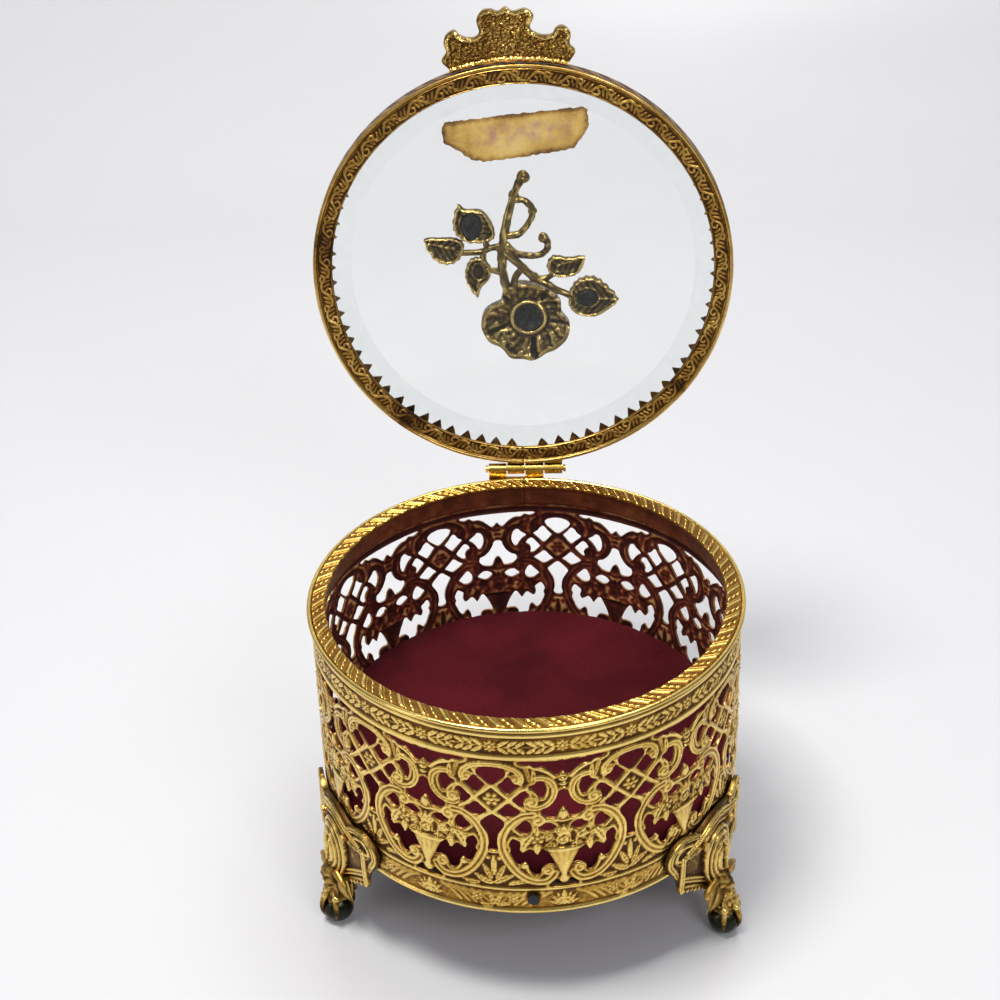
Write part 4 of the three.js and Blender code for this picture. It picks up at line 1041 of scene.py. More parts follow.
# ---- lid frame: embossed flange, ribbed outer wall, prongs --------------------------------------------
def build_lid_frame():
    n = 1800
    az = np.arange(n) * 360.0 / n
    rows = []  # (r, zl, nr, nz, kind) kind 1 flange, 2 outer wall
    for r in np.linspace(52.75, 57.0, 20):
        rows.append((r, 0.32, 0, -1, 1))
    for t in np.linspace(0, 1, 7):  # bright outer line
        a = math.pi * (1 - t)
        rows.append((57.5 + 0.42 * math.cos(a), 0.22 - 0.2 * math.sin(a), math.cos(a), -math.sin(a), 3))
    for zl in np.linspace(0.55, 5.6, 16):
        rows.append((57.9, zl, 1, 0, 2))
    rows += [(57.75, 5.95, 1, 1, 0), (57.4, 6.08, 0, 1, 0), (57.05, 5.95, -1, 1, 0)]
    for zl in np.linspace(5.4, 1.4, 5):
        rows.append((56.95, zl, -1, 0, 0))
    rows += [(56.7, 1.1, 0, 1, 0), (54.5, 1.1, 0, 1, 0), (52.95, 1.1, 0, 1, 0), (52.72, 0.8, -1, 0, 0)]
    rows = np.array(rows)
    r, zl, nr, nz, kind = (rows[:, i][:, None] for i in range(5))
    A = np.broadcast_to(az[None, :], (len(rows), n))
    # flange pattern: running scroll with curled sprigs, forty repeats
    L = 9.0  # degrees of a repeat
    X = ((A % L) / L) * 12.0 - 6.0
    Yf = np.broadcast_to((r - 54.85), A.shape)
    F = np.zeros(A.shape)
    fl = kind[:, 0] == 1
    x, y = X[fl], Yf[fl]
    h = np.zeros(x.shape)
    wave = lambda k: [(k - 6.5, -0.9), (k - 3, -1.1), (k, 0.9), (k + 3, 1.0), (k + 6.5, -0.9)]
    for k in (-12, 0, 12):
        h = np.maximum(h, bar(x, y, wave(k), 0.42, 0.46, n=6))
        h = np.maximum(h, bar(x, y, [(k - 2.4, -0.6), (k - 1.2, -1.4), (k + 0.4, -1.3), (k + 0.9, -0.4), (k + 0.1, -0.1)], 0.38, 0.46, n=5))
        h = np.maximum(h, bar(x, y, [(k + 3.2, 0.8), (k + 4.4, 1.4), (k + 5.6, 1.0), (k + 5.4, 0.1), (k + 4.6, 0.1)], 0.38, 0.46, n=5))
        for (u0, v0, u1, v1) in ((-5.4, -0.9, -3.9, 1.2), (-3.9, -0.9, -2.2, 1.3), (-1.0, 0.3, 0.8, 1.6), (1.5, 0.8, 3.0, -1.3), (3.2, 0.6, 4.6, -1.5), (5.0, -0.2, 6.6, 1.4)):
            h = np.maximum(h, leaf(x, y, k + u0, v0, k + u1, v1, 0.5, 0.46, 2))
    h = h * (1 - step(1.5, 1.75, np.abs(y))) * (1 - 0.3 * np.clip(fbm(A[fl] / 8, y, 3), 0, 1))
    h = np.maximum(h, 0.34 * np.sqrt(np.clip(1 - ((np.abs(y) - 1.92) / 0.17) ** 2, 0, 1)))
    h = h + 0.07 * fbm(A[fl] * 1.6, y * 1.6, 6)
    F[fl] = h
    ow = kind[:, 0] == 2
    yw = np.broadcast_to(zl, A.shape)[ow]
    Aw = A[ow]
    ph = (Aw / 360 * 60 + 0.18 * (yw - 3) * 0.6) % 1
    hw = 0.30 * np.sqrt(np.clip(1 - (np.abs(ph - 0.5) / 0.30) ** 2, 0, 1)) * (1 - step(1.7, 2.1, np.abs(yw - 3.0)))
    hw = np.maximum(hw, 0.26 * np.sqrt(np.clip(1 - ((np.abs(yw - 3.0) - 2.35) / 0.25) ** 2, 0, 1)))
    F[ow] = hw
    g = np.exp(-((((A - 181.0) + 180) % 360 - 180) / 0.22) ** 2)
    wob = 0.015 * fbm(A * 0.6, zl * 0.9, 19)
    R2 = r + nr * (F * 0.62 - 0.3 * g + wob)
    Z2 = zl + nz * (F * 0.62 - 0.3 * g + wob)
    R2 = np.minimum(R2, 58.05)
    cav = np.full(A.shape, 0.55)
    for m in (fl, ow):
        hh = F[m]
        cav[m] = np.clip(0.36 + 1.2 * (hh - blur(hh, 4, True)) + 0.32 * hh, 0, 1)
    cav[kind[:, 0] == 3] = 0.82
    a = (A + 180) % 360 - 180
    for spot, wdt in ((-38.0, 4.0), (52.0, 3.0), (-100, 6.0)):  # corroded patches
        q = np.exp(-((((a - (180 - spot)) + 180) % 360 - 180) / wdt) ** 2)
        cav = cav - 0.5 * q * (0.7 + 0.5 * fbm(A * 0.8, zl, 55))
    # the 0.10 * |a| / 180 term paints the frame lighter towards the hinge (the lower part of the raised lid) and darker
    # at its top: painted light and shade; the fbm term is random tarnish
    cav = np.clip(cav + 0.14 * fbm(A / 4, zl + r, 21) + 0.10 * np.abs(a) / 180 - 0.02, 0, 1)
    rr = np.radians(A)
    P = on_lid(R2 * np.sin(rr), R2 * np.cos(rr) * 1.0, Z2)  # azimuth 0 is the front, w = R cos
    body = Parts()
    m_, n_ = P.shape[:2]
    idx = np.arange(m_ * n_).reshape(m_, n_)
    nx = np.roll(idx, -1, 1)
    c_, d_ = np.roll(nx, -1, 0), np.roll(idx, -1, 0)
    body.add(P, [np.stack([idx.ravel(), nx.ravel(), c_.ravel(), d_.ravel()], 1)], {"cav": cav.ravel()})
    # prongs: small bent claws over the back of the glass
    pitch = 4.8
    for k in range(74):
        a0 = 180 + 4.4 + pitch * k
        j = noise(k * 1.7, 0.3, 5)
        tip = 52.05 + 0.3 * j
        prof = [(56.9, 5.35, 1.85), (55.6, 5.5, 1.75), (54.2, 5.5, 1.45), (53.1, 5.42, 0.85), (tip, 5.34, 0.16)]
        V, Q = [], []
        for (rr_, z_, hw_) in prof:
            for (sx, dz) in ((-1, 0), (-0.45, 0.46), (0.45, 0.46), (1, 0), (0.5, -0.02), (-0.5, -0.02)):
                t = rad(a0) + sx * hw_ / rr_ + 0.012 * j * (57 - rr_) / 4
                V.append((rr_ * math.sin(t), rr_ * math.cos(t), z_ + dz))
        V = np.array(V)
        m6 = 6
        for i in range(len(prof) - 1):
            for q in range(m6):
                Q.append((i * m6 + q, i * m6 + (q + 1) % m6, (i + 1) * m6 + (q + 1) % m6, (i + 1) * m6 + q))
        Q = np.array(Q)
        e = len(prof) - 1
        caps = np.array([(0, 5, 4), (0, 4, 1), (1, 4, 3), (1, 3, 2)])
        capf = caps[:, ::-1] + e * m6
        body.add(on_lid(V[:, 0], V[:, 1], V[:, 2]), [Q, caps, capf], {"cav": np.full(len(V), 0.62 + 0.15 * noise(k * 0.9, 2.2, 8))})
    o = body.make("lid_frame_embossed", sharp=60)
    outward(o)
    thin(o, 190000, 60)
    return dress(o, "lid", "lid", ["lid_frame"])


# ---- bevelled glass ---------------------------------------------------------------------------------
def build_glass():
    n = 256
    az = np.arange(n) * 2 * np.pi / n
    prof = [(0.0, 1.4), (56.2, 1.4), (56.5, 1.6), (56.5, 3.2), (56.3, 3.42), (47.7, 5.0), (0.0, 5.0)]
    rings = prof[1:-1]
    V = []
    for r, zl in rings:
        V.append(on_lid(r * np.sin(az), r * np.cos(az), zl))
    V = np.vstack(V + [on_lid(0, 0, 1.4).reshape(1, 3), on_lid(0, 0, 5.0).reshape(1, 3)])
    m = len(rings)
    idx = np.arange(m * n).reshape(m, n)
    nx = np.roll(idx, -1, 1)
    Q = np.stack([idx[:-1].ravel(), nx[:-1].ravel(), nx[1:].ravel(), idx[1:].ravel()], 1)
    t0 = np.stack([nx[0], idx[0], np.full(n, m * n)], 1)
    t1 = np.stack([idx[-1], nx[-1], np.full(n, m * n + 1)], 1)
    o = to_mesh("glass_disc_bevelled", V, [Q, t0, t1], {}, 6.0)
    outward(o)
    dress(o, "glass", "lid", ["glass_disc"])
    # the ground bevel and the edge are a second finish, a little hazier than the polished faces
    o.data.materials.append(MAT["bevel"])
    N = np.zeros(len(o.data.polygons) * 3, np.float32)
    o.data.polygons.foreach_get("normal", N)
    N = N.reshape(-1, 3)
    ax = (world(on_lid(0, 0, 1.0)) - world(on_lid(0, 0, 0.0))) * 1000
    lean = np.abs(N @ ax.ravel())
    o.data.polygons.foreach_set("material_index", (lean < 0.9995).astype(np.int32))
    return o


# ---- flat pieces on the lid --------------------------------------------------------------------------
def lid_plate(name_or_parts, outline, cell, low, high, mask=None, holes=(), cav=None, extra=None, rag=0.0, max_tris=None, sharp=55, pad=1.0):
    """Closed plate on the lid cut to an outline in (u, w): low and high give the two faces' heights
    from (X, Y, distance to the edge)."""
    O = np.array(outline, float)
    x0, y0 = O.min(0) - pad
    x1, y1 = O.max(0) + pad
    X, Y = np.meshgrid(np.arange(x0, x1 + cell, cell), np.arange(y0, y1 + cell, cell))
    f = -poly_sdf(X, Y, O, 30.0)
    for h in holes:
        f = np.minimum(f, poly_sdf(X, Y, np.array(h, float), 30.0))
    if rag:
        f = f + rag * fbm(X * 0.9, Y * 0.9, 61)
    f = np.where(np.abs(f) < 1e-4, 1e-4, f)
    e = np.clip(f, 0, None)
    lo, hi = low(X, Y, e), high(X, Y, e)
    cl = cavity(-lo * 1.0, cell, False)
    ch = cavity(hi * 1.0, cell, False)
    if cav:
        cl, ch = cav(X, Y, e, cl, ch)
    at = {"cav": (cl, ch)}
    if extra:
        at.update(extra(X, Y, e))
    if isinstance(name_or_parts, Parts):
        V, F, vals = shell("x", f, on_lid(X, Y, lo), on_lid(X, Y, hi), at, join=True)
        name_or_parts.add(V, F, {"cav": vals["cav"]})
        return None
    o = shell(name_or_parts, f, on_lid(X, Y, lo), on_lid(X, Y, hi), at, max_tris=max_tris, sharp=sharp)
    return outward(o)


def build_label():
    pts = [(-20.9, 41.5), (-20.0, 42.8), (-8, 44.2), (4, 45.3), (16.8, 46.5), (18.1, 45.6), (18.4, 41.2), (16.2, 37.6), (14.6, 35.2), (3, 33.4), (-9.5, 31.9), (-13.0, 32.6), (-17.5, 35.5), (-20.6, 37.4)]
    O = []
    P = np.array([(u, w - 0.4) for u, w in pts])
    for i in range(len(P)):
        a, b = P[i], P[(i + 1) % len(P)]
        for t in np.linspace(0, 1, 8, endpoint=False):
            O.append(a + t * (b - a))
    def low(X, Y, e):
        return 1.06 + 0.03 * fbm(X / 6, Y / 6, 4) - 0.05 * np.exp(-e / 0.5)
    def high(X, Y, e):
        return np.full(X.shape, 1.30)
    def extra(X, Y, e):
        s = np.exp(-(((Y - 39.2 - 0.11 * X) / 3.0) ** 4)) * step(-14, -9, X) * (1 - step(12, 15.5, X)) * np.clip(0.75 + 0.9 * fbm(X * 0.28, Y * 0.5, 61), 0, 1)
        return {"smudge": (s, s * 0)}
    o = lid_plate("paper_label_blank", O, 0.35, low, high, rag=0.42, cav=lambda X, Y, e, a, b: (step(0, 1.8, e) * 0.8 + 0.2 * step(0, 6, e), step(0, 1.8, e)), extra=extra)
    return dress(o, "label", "lid", ["paper_label"])


def build_tab():
    tab = [(-18.4, 56.6), (-20.3, 58.8), (-19.0, 61.2), (-19.6, 63.3), (-19.0, 65.6), (-16.8, 66.9), (-15.0, 65.3), (-12.0, 64.8), (-10.2, 66.2), (-10.8, 69.4), (-9.4, 71.8), (-7.0, 72.2), (-5.2, 71.6), (-3.2, 72.7), (-1.2, 71.6), (2.0, 72.2), (4.2, 70.4), (3.2, 67.2), (5.6, 65.4), (8.8, 65.4), (10.0, 67.1), (12.0, 67.6), (13.9, 65.6), (13.6, 62.8), (15.1, 60.8), (13.2, 57.6)]
    arc = [(u, math.sqrt(58.35**2 - u * u)) for u in np.linspace(13.0, -18.2, 24)]
    O = [tuple(p) for p in curve(tab, 5)] + arc
    def relief(X, Y, e, seed, depth):
        r = np.hypot(X, Y)
        peb = np.zeros(X.shape)
        # scattered pellets on a jittered lattice
        s = 0.66
        ix, iy = np.floor(X / s).astype(int), np.floor(Y / s).astype(int)
        for dx in (-1, 0, 1):
            for dy in (-1, 0, 1):
                jx, jy = ix + dx, iy + dy
                cx = (jx + 0.5 + 0.55 * _hash(jx, jy, seed)) * s
                cy = (jy + 0.5 + 0.55 * _hash(jx, jy, seed + 1)) * s
                rr = 0.34 + 0.16 * _hash(jx, jy, seed + 2)
                peb = np.maximum(peb, np.sqrt(np.clip(1 - ((X - cx) ** 2 + (Y - cy) ** 2) / rr**2, 0, 1)))
        ridge = np.sqrt(np.clip(1 - ((e - 0.5) / 0.75) ** 2, 0, 1)) * step(60, 64, r) * (0.65 + 0.35 * noise(X * 0.5, Y * 0.5, seed))
        base_line = np.sqrt(np.clip(1 - ((r - 59.0) / 0.7) ** 2, 0, 1))
        return depth * ((0.30 * peb + 0.16 * fbm(X * 1.9, Y * 1.9, seed + 4)) * step(0.3, 0.9, e) + 0.55 * ridge + 0.6 * base_line)
    low = lambda X, Y, e: 1.75 - relief(X, Y, e, 5, 1.0)
    high = lambda X, Y, e: 2.9 + relief(X, Y, e, 15, 0.8)
    def cav(X, Y, e, cl, ch):
        r = np.hypot(X, Y)
        # top brightens the rims of the upper lobes: a painted highlight
        top = (1 - step(0.7, 1.3, e)) * step(61, 66, r)
        return np.clip(0.16 + cl * 0.68 + 0.22 * top, 0, 1), np.clip(0.1 + ch * 0.8 + 0.15 * top, 0, 1)
    o = lid_plate("thumb_tab_cast", O, 0.26, low, high, cav=cav, max_tris=120000)
    return dress(o, "tab", "lid", ["thumb_tab"])


# ---- rose spray ---------------------------------------------------------------------------------------
DROP = 1.9
ZS = 5.3


def build_rose():
    b = Parts()
    lidmap = lambda V: on_lid(V[:, 0], V[:, 1], V[:, 2])
    stems = [
        ([(0.3, 27.6), (-1.6, 24), (-3.2, 19), (-4.4, 14), (-5.4, 9), (-5.8, 4), (-5.7, 0), (-4.4, -5.5)], [1.5, 1.15, 1.2, 1.45, 1.3, 1.5, 1.35, 1.5]),
        ([(-1.8, 21.3), (0.6, 21), (2.5, 19.2), (2.9, 17.2), (2, 14.8), (0.2, 12.4), (-1.4, 11.2), (-4.4, 11)], [1.2, 1.0, 1.1, 0.95, 0.95, 1.0, 1.1, 1.2]),
        ([(-4.6, 8.2), (-1.8, 5.8), (1.5, 5.1), (4.6, 5.2), (6.6, 6.6), (7, 8.6), (5.8, 10.3)], [1.3, 1.05, 1.0, 0.95, 1.0, 1.05, 1.3]),
        ([(-5.0, 6.5), (0, 1.5), (3.2, -1.4), (6.5, -3.2), (9, -4.9), (14.5, -7.5)], [1.4, 1.25, 1.2, 1.15, 1.1, 1.0]),
        ([(2.8, -1.2), (6, -1.7), (9.8, 0.2)], [1.0, 0.95, 0.8]),
        ([(-5.3, 8), (-9, 7.4), (-12, 6.3), (-18.5, 6.2)], [1.15, 1.0, 1.0, 0.85]),
        ([(-9.8, 7.4), (-10.6, 11)], [0.95, 1.0]),
        ([(-11, 6.6), (-11, 3)], [0.95, 1.0]),
        ([(-10.2, 1.2), (-6, 0.4)], [0.85, 1.1]),
        ([(-0.2, 1.6), (-2.4, -1.8), (-2.6, -5.6)], [0.95, 1.1, 1.3]),
    ]
    for i, (pts, r) in enumerate(stems):
        r = [q * 0.92 for q in r]
        b.tube([(u, w - DROP, ZS + 1.15) for u, w in pts], r, sides=16, n=7, rough=0.12, seed=i + 3, cav=0.6, to=lidmap)
    # thorns and nodes along the stems
    for (u, w, r) in ((0.5, 27.6, 1.9), (-2.2, 22.6, 1.5), (2.9, 18.0, 1.3), (5.8, 10.2, 1.5), (-4.8, 11.2, 1.6), (-5.6, 7.4, 1.9), (3.0, -1.3, 1.5)):
        b.ball((u, w - DROP, ZS + 1.3), r, 18, 12, (1, 1, 0.75), fn=lambda T, P: 0.05 * np.cos(3 * P + 1) * np.sin(T), cav=0.6, to=lidmap)
    leaves = [
        ([(-27, 10), (-24.8, 4.8), (-21, 3), (-17.6, 4.6), (-16.4, 8.4), (-18.6, 10.2), (-22.5, 10.4)], (-16.6, 6.8), (-26.8, 9.2), 1.6, None),
        ([(-17.4, 19.8), (-18.9, 15), (-18, 11.4), (-14.4, 9.2), (-9, 9.8), (-7.8, 11.6), (-8.8, 15), (-11.4, 18), (-15.5, 18.5)], (-10.6, 10.2), (-17.2, 19.6), 2.0, (-14.0, 14.0, 2.9, 3.9)),
        ([(-13, -6.7), (-15.6, -2.6), (-16, 0.8), (-14.4, 4), (-11.4, 4.4), (-9.2, 1.8), (-9.4, -1.2), (-11.8, -4)], (-11.4, 4.2), (-13, -6.5), 1.7, (-12.5, 0.6, 1.5, 2.2)),
        ([(17, 4.4), (12.8, 4.2), (8.4, 4.6), (6.8, 1.8), (8.6, -0.8), (12.6, -1.2), (15.8, 0.4)], (7.2, 1.4), (16.8, 4.2), 1.7, None),
        ([(26.2, -8.2), (23.2, -4.4), (19.6, -2), (15.6, -2.6), (13.2, -5.6), (12.9, -9.6), (15.2, -12.2), (19.8, -13), (23.6, -11)], (13.2, -7.4), (26, -8.2), 2.0, (17.8, -7.6, 3.1, 2.5)),
    ]
    for i, (pts, foot_, tip, th, pocket) in enumerate(leaves):
        O = loop([(u, w - DROP) for u, w in pts], 10)
        c = O.mean(0)
        k = np.arange(len(O))
        O = c + (O - c) * (1 + 0.055 * np.abs(((k / 5.0) % 1) * 2 - 1) + 0.02 * np.cos(k * 1.3))[:, None]
        fx, fy = foot_[0], foot_[1] - DROP
        tx, ty = tip[0], tip[1] - DROP
        L = math.hypot(tx - fx, ty - fy)
        ex, ey = (tx - fx) / L, (ty - fy) / L

        def low(X, Y, e, fx=fx, fy=fy, ex=ex, ey=ey, pocket=pocket, th=th, L=L):
            s, t = (X - fx) * ex + (Y - fy) * ey, -(X - fx) * ey + (Y - fy) * ex
            rimw = 0.40 + 0.14 * noise(X * 0.9, Y * 0.9, 7)
            h = ZS + 0.85 - 0.6 * np.sqrt(np.clip(1 - ((e - rimw) / rimw) ** 2, 0, 1))  # raised rim, towards the glass
            h = h + 0.30 * step(0.8, 2.4, e) + 0.16 * fbm(X * 0.8, Y * 0.8, 12)
            h = h + 0.10 * np.cos(2 * np.pi * (s * 0.55 + np.abs(t) * 0.42)) * step(0.5, 1.2, e)
            h = h - 0.38 * np.exp(-((t / 0.42) ** 2)) * step(0.2, 1.2, e) * step(L * 0.1, L * 0.3, s)
            if pocket:
                pu, pw, pr, ps = pocket
                q = ((X - pu) / pr) ** 2 + ((Y - (pw - DROP)) / ps) ** 2
                h = np.where(q < 1, np.maximum(h, ZS + 1.35), h)
                h = h - 0.3 * np.exp(-(((np.sqrt(q) - 1.12) / 0.13) ** 2)) * (0.6 + 0.4 * noise(X * 0.7, Y * 0.7, 4))
            return np.maximum(h, ZS + 0.02)

        def high(X, Y, e, fx=fx, fy=fy, ex=ex, ey=ey, th=th, L=L):
            s, t = (X - fx) * ex + (Y - fy) * ey, -(X - fx) * ey + (Y - fy) * ex
            cup = 0.9 * (np.abs(t) / (0.35 * L)) ** 1.5
            vein = 0.22 * np.cos(2 * np.pi * (s * 0.42 - np.abs(t) * 0.5)) * step(0.3, 1.0, e)
            mid = -0.4 * np.exp(-((t / 0.35) ** 2))
            return ZS + th + np.minimum(cup, 1.2) * 0.8 + vein * 0.7 + mid + 0.25 * np.sqrt(np.clip(1 - ((e - 0.45) / 0.5) ** 2, 0, 1))

        lid_plate(b, O, 0.24, low, high)
    # the bloom: lobed outline, ring and radial folds towards the glass, wound petals on the outside
    bloom = [(-5.5, -4.6), (-1, -3.3), (4, -3.6), (8, -6), (10.3, -8.6), (10.6, -12), (12.8, -15.5), (12, -19.5), (9, -22.5), (6, -23.8), (3, -26), (-0.5, -25.4), (-4, -25), (-6.5, -22), (-10, -20), (-12, -16), (-11.5, -12), (-9.5, -9.8), (-6, -8)]
    O = loop([(u, w - DROP) for u, w in bloom], 8)
    cu, cw = 1.3, -13.2 - DROP

    def low(X, Y, e):
        dx, dy = X - cu, Y - cw
        r, a = np.hypot(dx, dy), np.arctan2(dy, dx)
        h = ZS + 1.5 - 0.045 * (r - 5) * 4
        lobes = np.abs(np.sin(2.5 * a + 0.5 + 0.25 * np.sin(2 * a)))
        h = h + 0.95 * np.exp(-((lobes / 0.20) ** 2)) * step(5.2, 7.5, r)          # folds between the petals
        h = h + 0.15 * np.cos(23 * a + 1.6 * np.sin(r * 0.8) + 2.2 * noise(X * 0.35, Y * 0.35, 8)) * step(5.4, 7.0, r)  # fine radial creases
        h = h - 0.6 * np.sqrt(np.clip(1 - ((e - 0.55) / 0.6) ** 2, 0, 1)) * (r > 6) * (0.7 + 0.3 * noise(X * 0.5, Y * 0.5, 2))
        h = h + 0.55 * fbm(X * 0.45, Y * 0.45, 4) + 0.14 * fbm(X * 1.7, Y * 1.7, 5)
        ringq = np.sqrt(np.clip(1 - ((r - 4.65) / 0.75) ** 2, 0, 1)) * (0.82 + 0.18 * noise(a * 2.1, r * 0.2, 9))
        h = np.where(r < 5.5, np.minimum(h, ZS + 1.55 - 1.45 * ringq), h)
        h = np.where(r < 4.0, ZS + 3.3, h)
        return np.maximum(h, ZS + 0.03)

    def high(X, Y, e):
        dx, dy = X - cu, Y - cw
        r, a = np.hypot(dx, dy), np.arctan2(dy, dx)
        outer = 3.6 + 1.2 * step(0, 2.5, e) + 0.9 * (0.5 + 0.5 * np.cos(5 * a + 0.6)) * step(6, 11, r)
        lip = 0.7 * np.sqrt(np.clip(1 - ((e - 0.7) / 0.8) ** 2, 0, 1))
        wound = 0.5 + 0.5 * np.cos(a + r * 1.55 + 0.9 * np.sin(3 * a))
        heart = np.clip(1 - (r / 7.2) ** 2, 0, 1) ** 0.5 * (2.4 + 1.3 * wound)
        return ZS + outer * 0.75 + lip + heart * 0.85 - 0.7 * np.exp(-(((r - 7.4) / 0.7) ** 2))

    lid_plate(b, O, 0.24, low, high)
    # second ring of petals, set back and turned, so that the edge is layered
    O2 = []
    for k in range(90):
        a = k / 90 * 2 * math.pi
        rr = 8.6 + 1.3 * abs(math.cos(2.5 * a + 1.1))
        O2.append((cu + rr * math.cos(a), cw + rr * math.sin(a)))
    lid_plate(b, O2, 0.3, lambda X, Y, e: ZS + 3.4 + 0 * X, lambda X, Y, e: ZS + 6.2 + 0.8 * np.sqrt(np.clip(1 - ((e - 0.7) / 0.8) ** 2, 0, 1)) + 0.4 * np.cos(5 * np.arctan2(Y - cw, X - cu)))
    lid_plate(b, [(cu + 5.8 * math.cos(t), cw + 5.8 * math.sin(t)) for t in np.linspace(0, 2 * np.pi, 60, endpoint=False)], 0.26,
              lambda X, Y, e: ZS + 4.4 + 0 * X,
              lambda X, Y, e: ZS + 7.9 + 1.5 * np.clip(1 - np.hypot(X - cu, Y - cw) / 6, 0, 1) + 0.75 * np.cos(np.arctan2(Y - cw, X - cu) + 1.9 * np.hypot(X - cu, Y - cw)))
    o = b.make("rose_spray_cast", sharp=50)
    outward(o)
    thin(o, 150000, 50)
    return dress(o, "rose", "lid", ["rose_spray"])


def build_cement():
    for name, u, w, rx, ry, z1, deep in (("cement_bloom", 1.3, -13.2, 3.95, 3.95, 3.2, 2.1), ("cement_leaf_left", -14.0, 14.0, 2.75, 3.75, 1.6, 0.25), ("cement_leaf_right", 17.8, -7.6, 2.95, 2.35, 1.6, 0.25)):
        O = [(u + rx * math.cos(t) * (1 + 0.04 * math.sin(5 * t + u)), w - DROP + ry * math.sin(t) * (1 + 0.04 * math.cos(4 * t))) for t in np.linspace(0, 2 * np.pi, 64, endpoint=False)]
        def low(X, Y, e, u=u, w=w, rx=rx, deep=deep):
            r = np.hypot(X - u, Y - (w - DROP)) / rx
            lump = 0.22 * fbm(X * 0.8, Y * 0.8, int(abs(u)) + 3) + 0.10 * fbm(X * 2.2, Y * 2.2, 9)
            hollow = deep * np.exp(-((r / 0.6) ** 2)) * (1 + 0.45 * fbm(X * 0.6, Y * 0.6, 33))
            return np.maximum(ZS + 0.28 + lump * (1.0 if deep > 1 else 0.6) + hollow + 0.35 * np.exp(-e / 0.35), ZS + 0.04)
        o = lid_plate(name + "_dab", O, 0.2, low, lambda X, Y, e, z1=z1: ZS + z1 + 0 * X)
        dress(o, "cement", "lid", [name])


